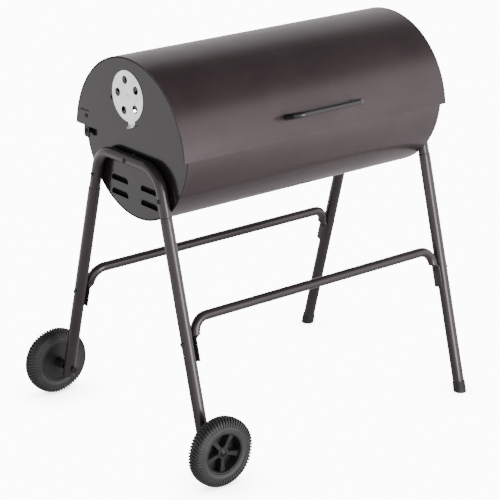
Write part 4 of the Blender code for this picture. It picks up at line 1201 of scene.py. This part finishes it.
def floor():
    """A white floor that glows evenly to the camera, with a faint painted contact shadow where something
    stands on it, and a painted shadow of the grill in the light and reflections it gives.
    """
    bm = bmesh.new()
    signs = ((-1, -1), (1, -1), (1, 1), (-1, 1))
    bm.faces.new([bm.verts.new((x * FLOOR_SIZE, y * FLOOR_SIZE, 0.0)) for x, y in signs])
    mesh = bpy.data.meshes.new("floor")
    bm.to_mesh(mesh)
    bm.free()
    obj = bpy.data.objects.new("floor", mesh)
    bpy.context.scene.collection.objects.link(obj)
    n = Surface("floor_paper")
    # Painted contact shadow: ambient occlusion darkens the floor's glow to the camera where something stands
    # on it.
    painted_contact_shadow = n.add("ShaderNodeAmbientOcclusion", samples=8)
    painted_contact_shadow.inputs["Distance"].default_value = SHADE_REACH
    seen = n.math("MULTIPLY", n.ramp(painted_contact_shadow.outputs["AO"], 0.2, 1.0, SHADE_DARKEST, 1.0), FLOOR_SEEN)
    place = n.add("ShaderNodeNewGeometry").outputs["Position"]
    away = n.add("ShaderNodeVectorMath", operation="LENGTH")
    n.link(place, away.inputs[0])
    # Painted shadow of the grill: the glow to light and reflections is dimmer near it, and rises to the front
    # and to the left.
    near = n.ramp(away.outputs["Value"], 0.5, 1.7, FLOOR_NEAR_SHADOW, 1.0)
    front = n.ramp(n.facing(place, FLOOR_FRONT), 0.2, 1.5, 0.0, 0.85)
    left = n.ramp(n.facing(place, FLOOR_LEFT), 0.8, 2.0, 1.0, 1.5)
    unseen = n.math("MULTIPLY", near, n.math("ADD", front, left))
    glow = n.add("ShaderNodeEmission")
    n.link(n.seen_by_camera(seen, unseen), glow.inputs["Strength"])
    n.link(glow.outputs["Emission"], n.tree.nodes["Material Output"].inputs["Surface"])
    mesh.materials.append(n.material)


def studio():
    """Glowing walls, brightest in front, under a dark ceiling; plain white to the camera."""
    world = bpy.data.worlds.new("studio")
    bpy.context.scene.world = world
    world.use_nodes = True
    n = Nodes(world.node_tree, "Generated")
    split = n.add("ShaderNodeSeparateXYZ")
    n.link(n.place, split.inputs[0])
    behind = n.ramp(n.facing(n.place, WALL_RISE), 0.2, 0.8, 0.0, 0.10)
    wall = n.add("ShaderNodeMapRange", interpolation_type="SMOOTHSTEP")
    wall.inputs["From Min"].default_value = math.sin(math.radians(WALL_TOP - 9.0))
    wall.inputs["From Max"].default_value = math.sin(math.radians(WALL_TOP + 7.0))
    wall.inputs["To Min"].default_value = WALL_GLOW
    wall.inputs["To Max"].default_value = CEILING_GLOW
    n.link(n.math("SUBTRACT", split.outputs["Z"], behind), wall.inputs["Value"])
    lit = n.ramp(n.facing(n.place, BRIGHT_WALL), 0.1, 0.75, WALL_BEHIND, 1.0)
    glow = n.math("MULTIPLY", wall.outputs["Result"], lit)
    background = n.tree.nodes["Background"]
    background.inputs["Color"].default_value = (1.0, 1.0, 1.0, 1.0)
    n.link(n.seen_by_camera(FLOOR_SEEN, glow), background.inputs["Strength"])


def panel():
    """A soft upright light panel in front, hidden from the camera."""
    light = bpy.data.lights.new("panel", "AREA")
    light.shape = "RECTANGLE"
    light.size, light.size_y = PANEL_SIZE
    light.energy = PANEL_POWER
    obj = bpy.data.objects.new("panel", light)
    obj.location = PANEL_PLACE
    obj.rotation_euler = Y_AXIS.to_track_quat("-Z", "Y").to_euler()
    obj.visible_camera = False
    bpy.context.scene.collection.objects.link(obj)


def camera():
    data = bpy.data.cameras.new("camera")
    data.sensor_width = 36.0
    data.lens = CAMERA_LENS
    data.clip_end = 60.0
    obj = bpy.data.objects.new("camera", data)
    obj.location = CAMERA_PLACE
    obj.rotation_euler = (math.pi / 2 - CAMERA_DOWN, 0.0, CAMERA_TURN)
    bpy.context.scene.collection.objects.link(obj)
    bpy.context.scene.camera = obj


build()
floor()
studio()
panel()
camera()


def corners(box):
    return [list(corner) for corner in box]
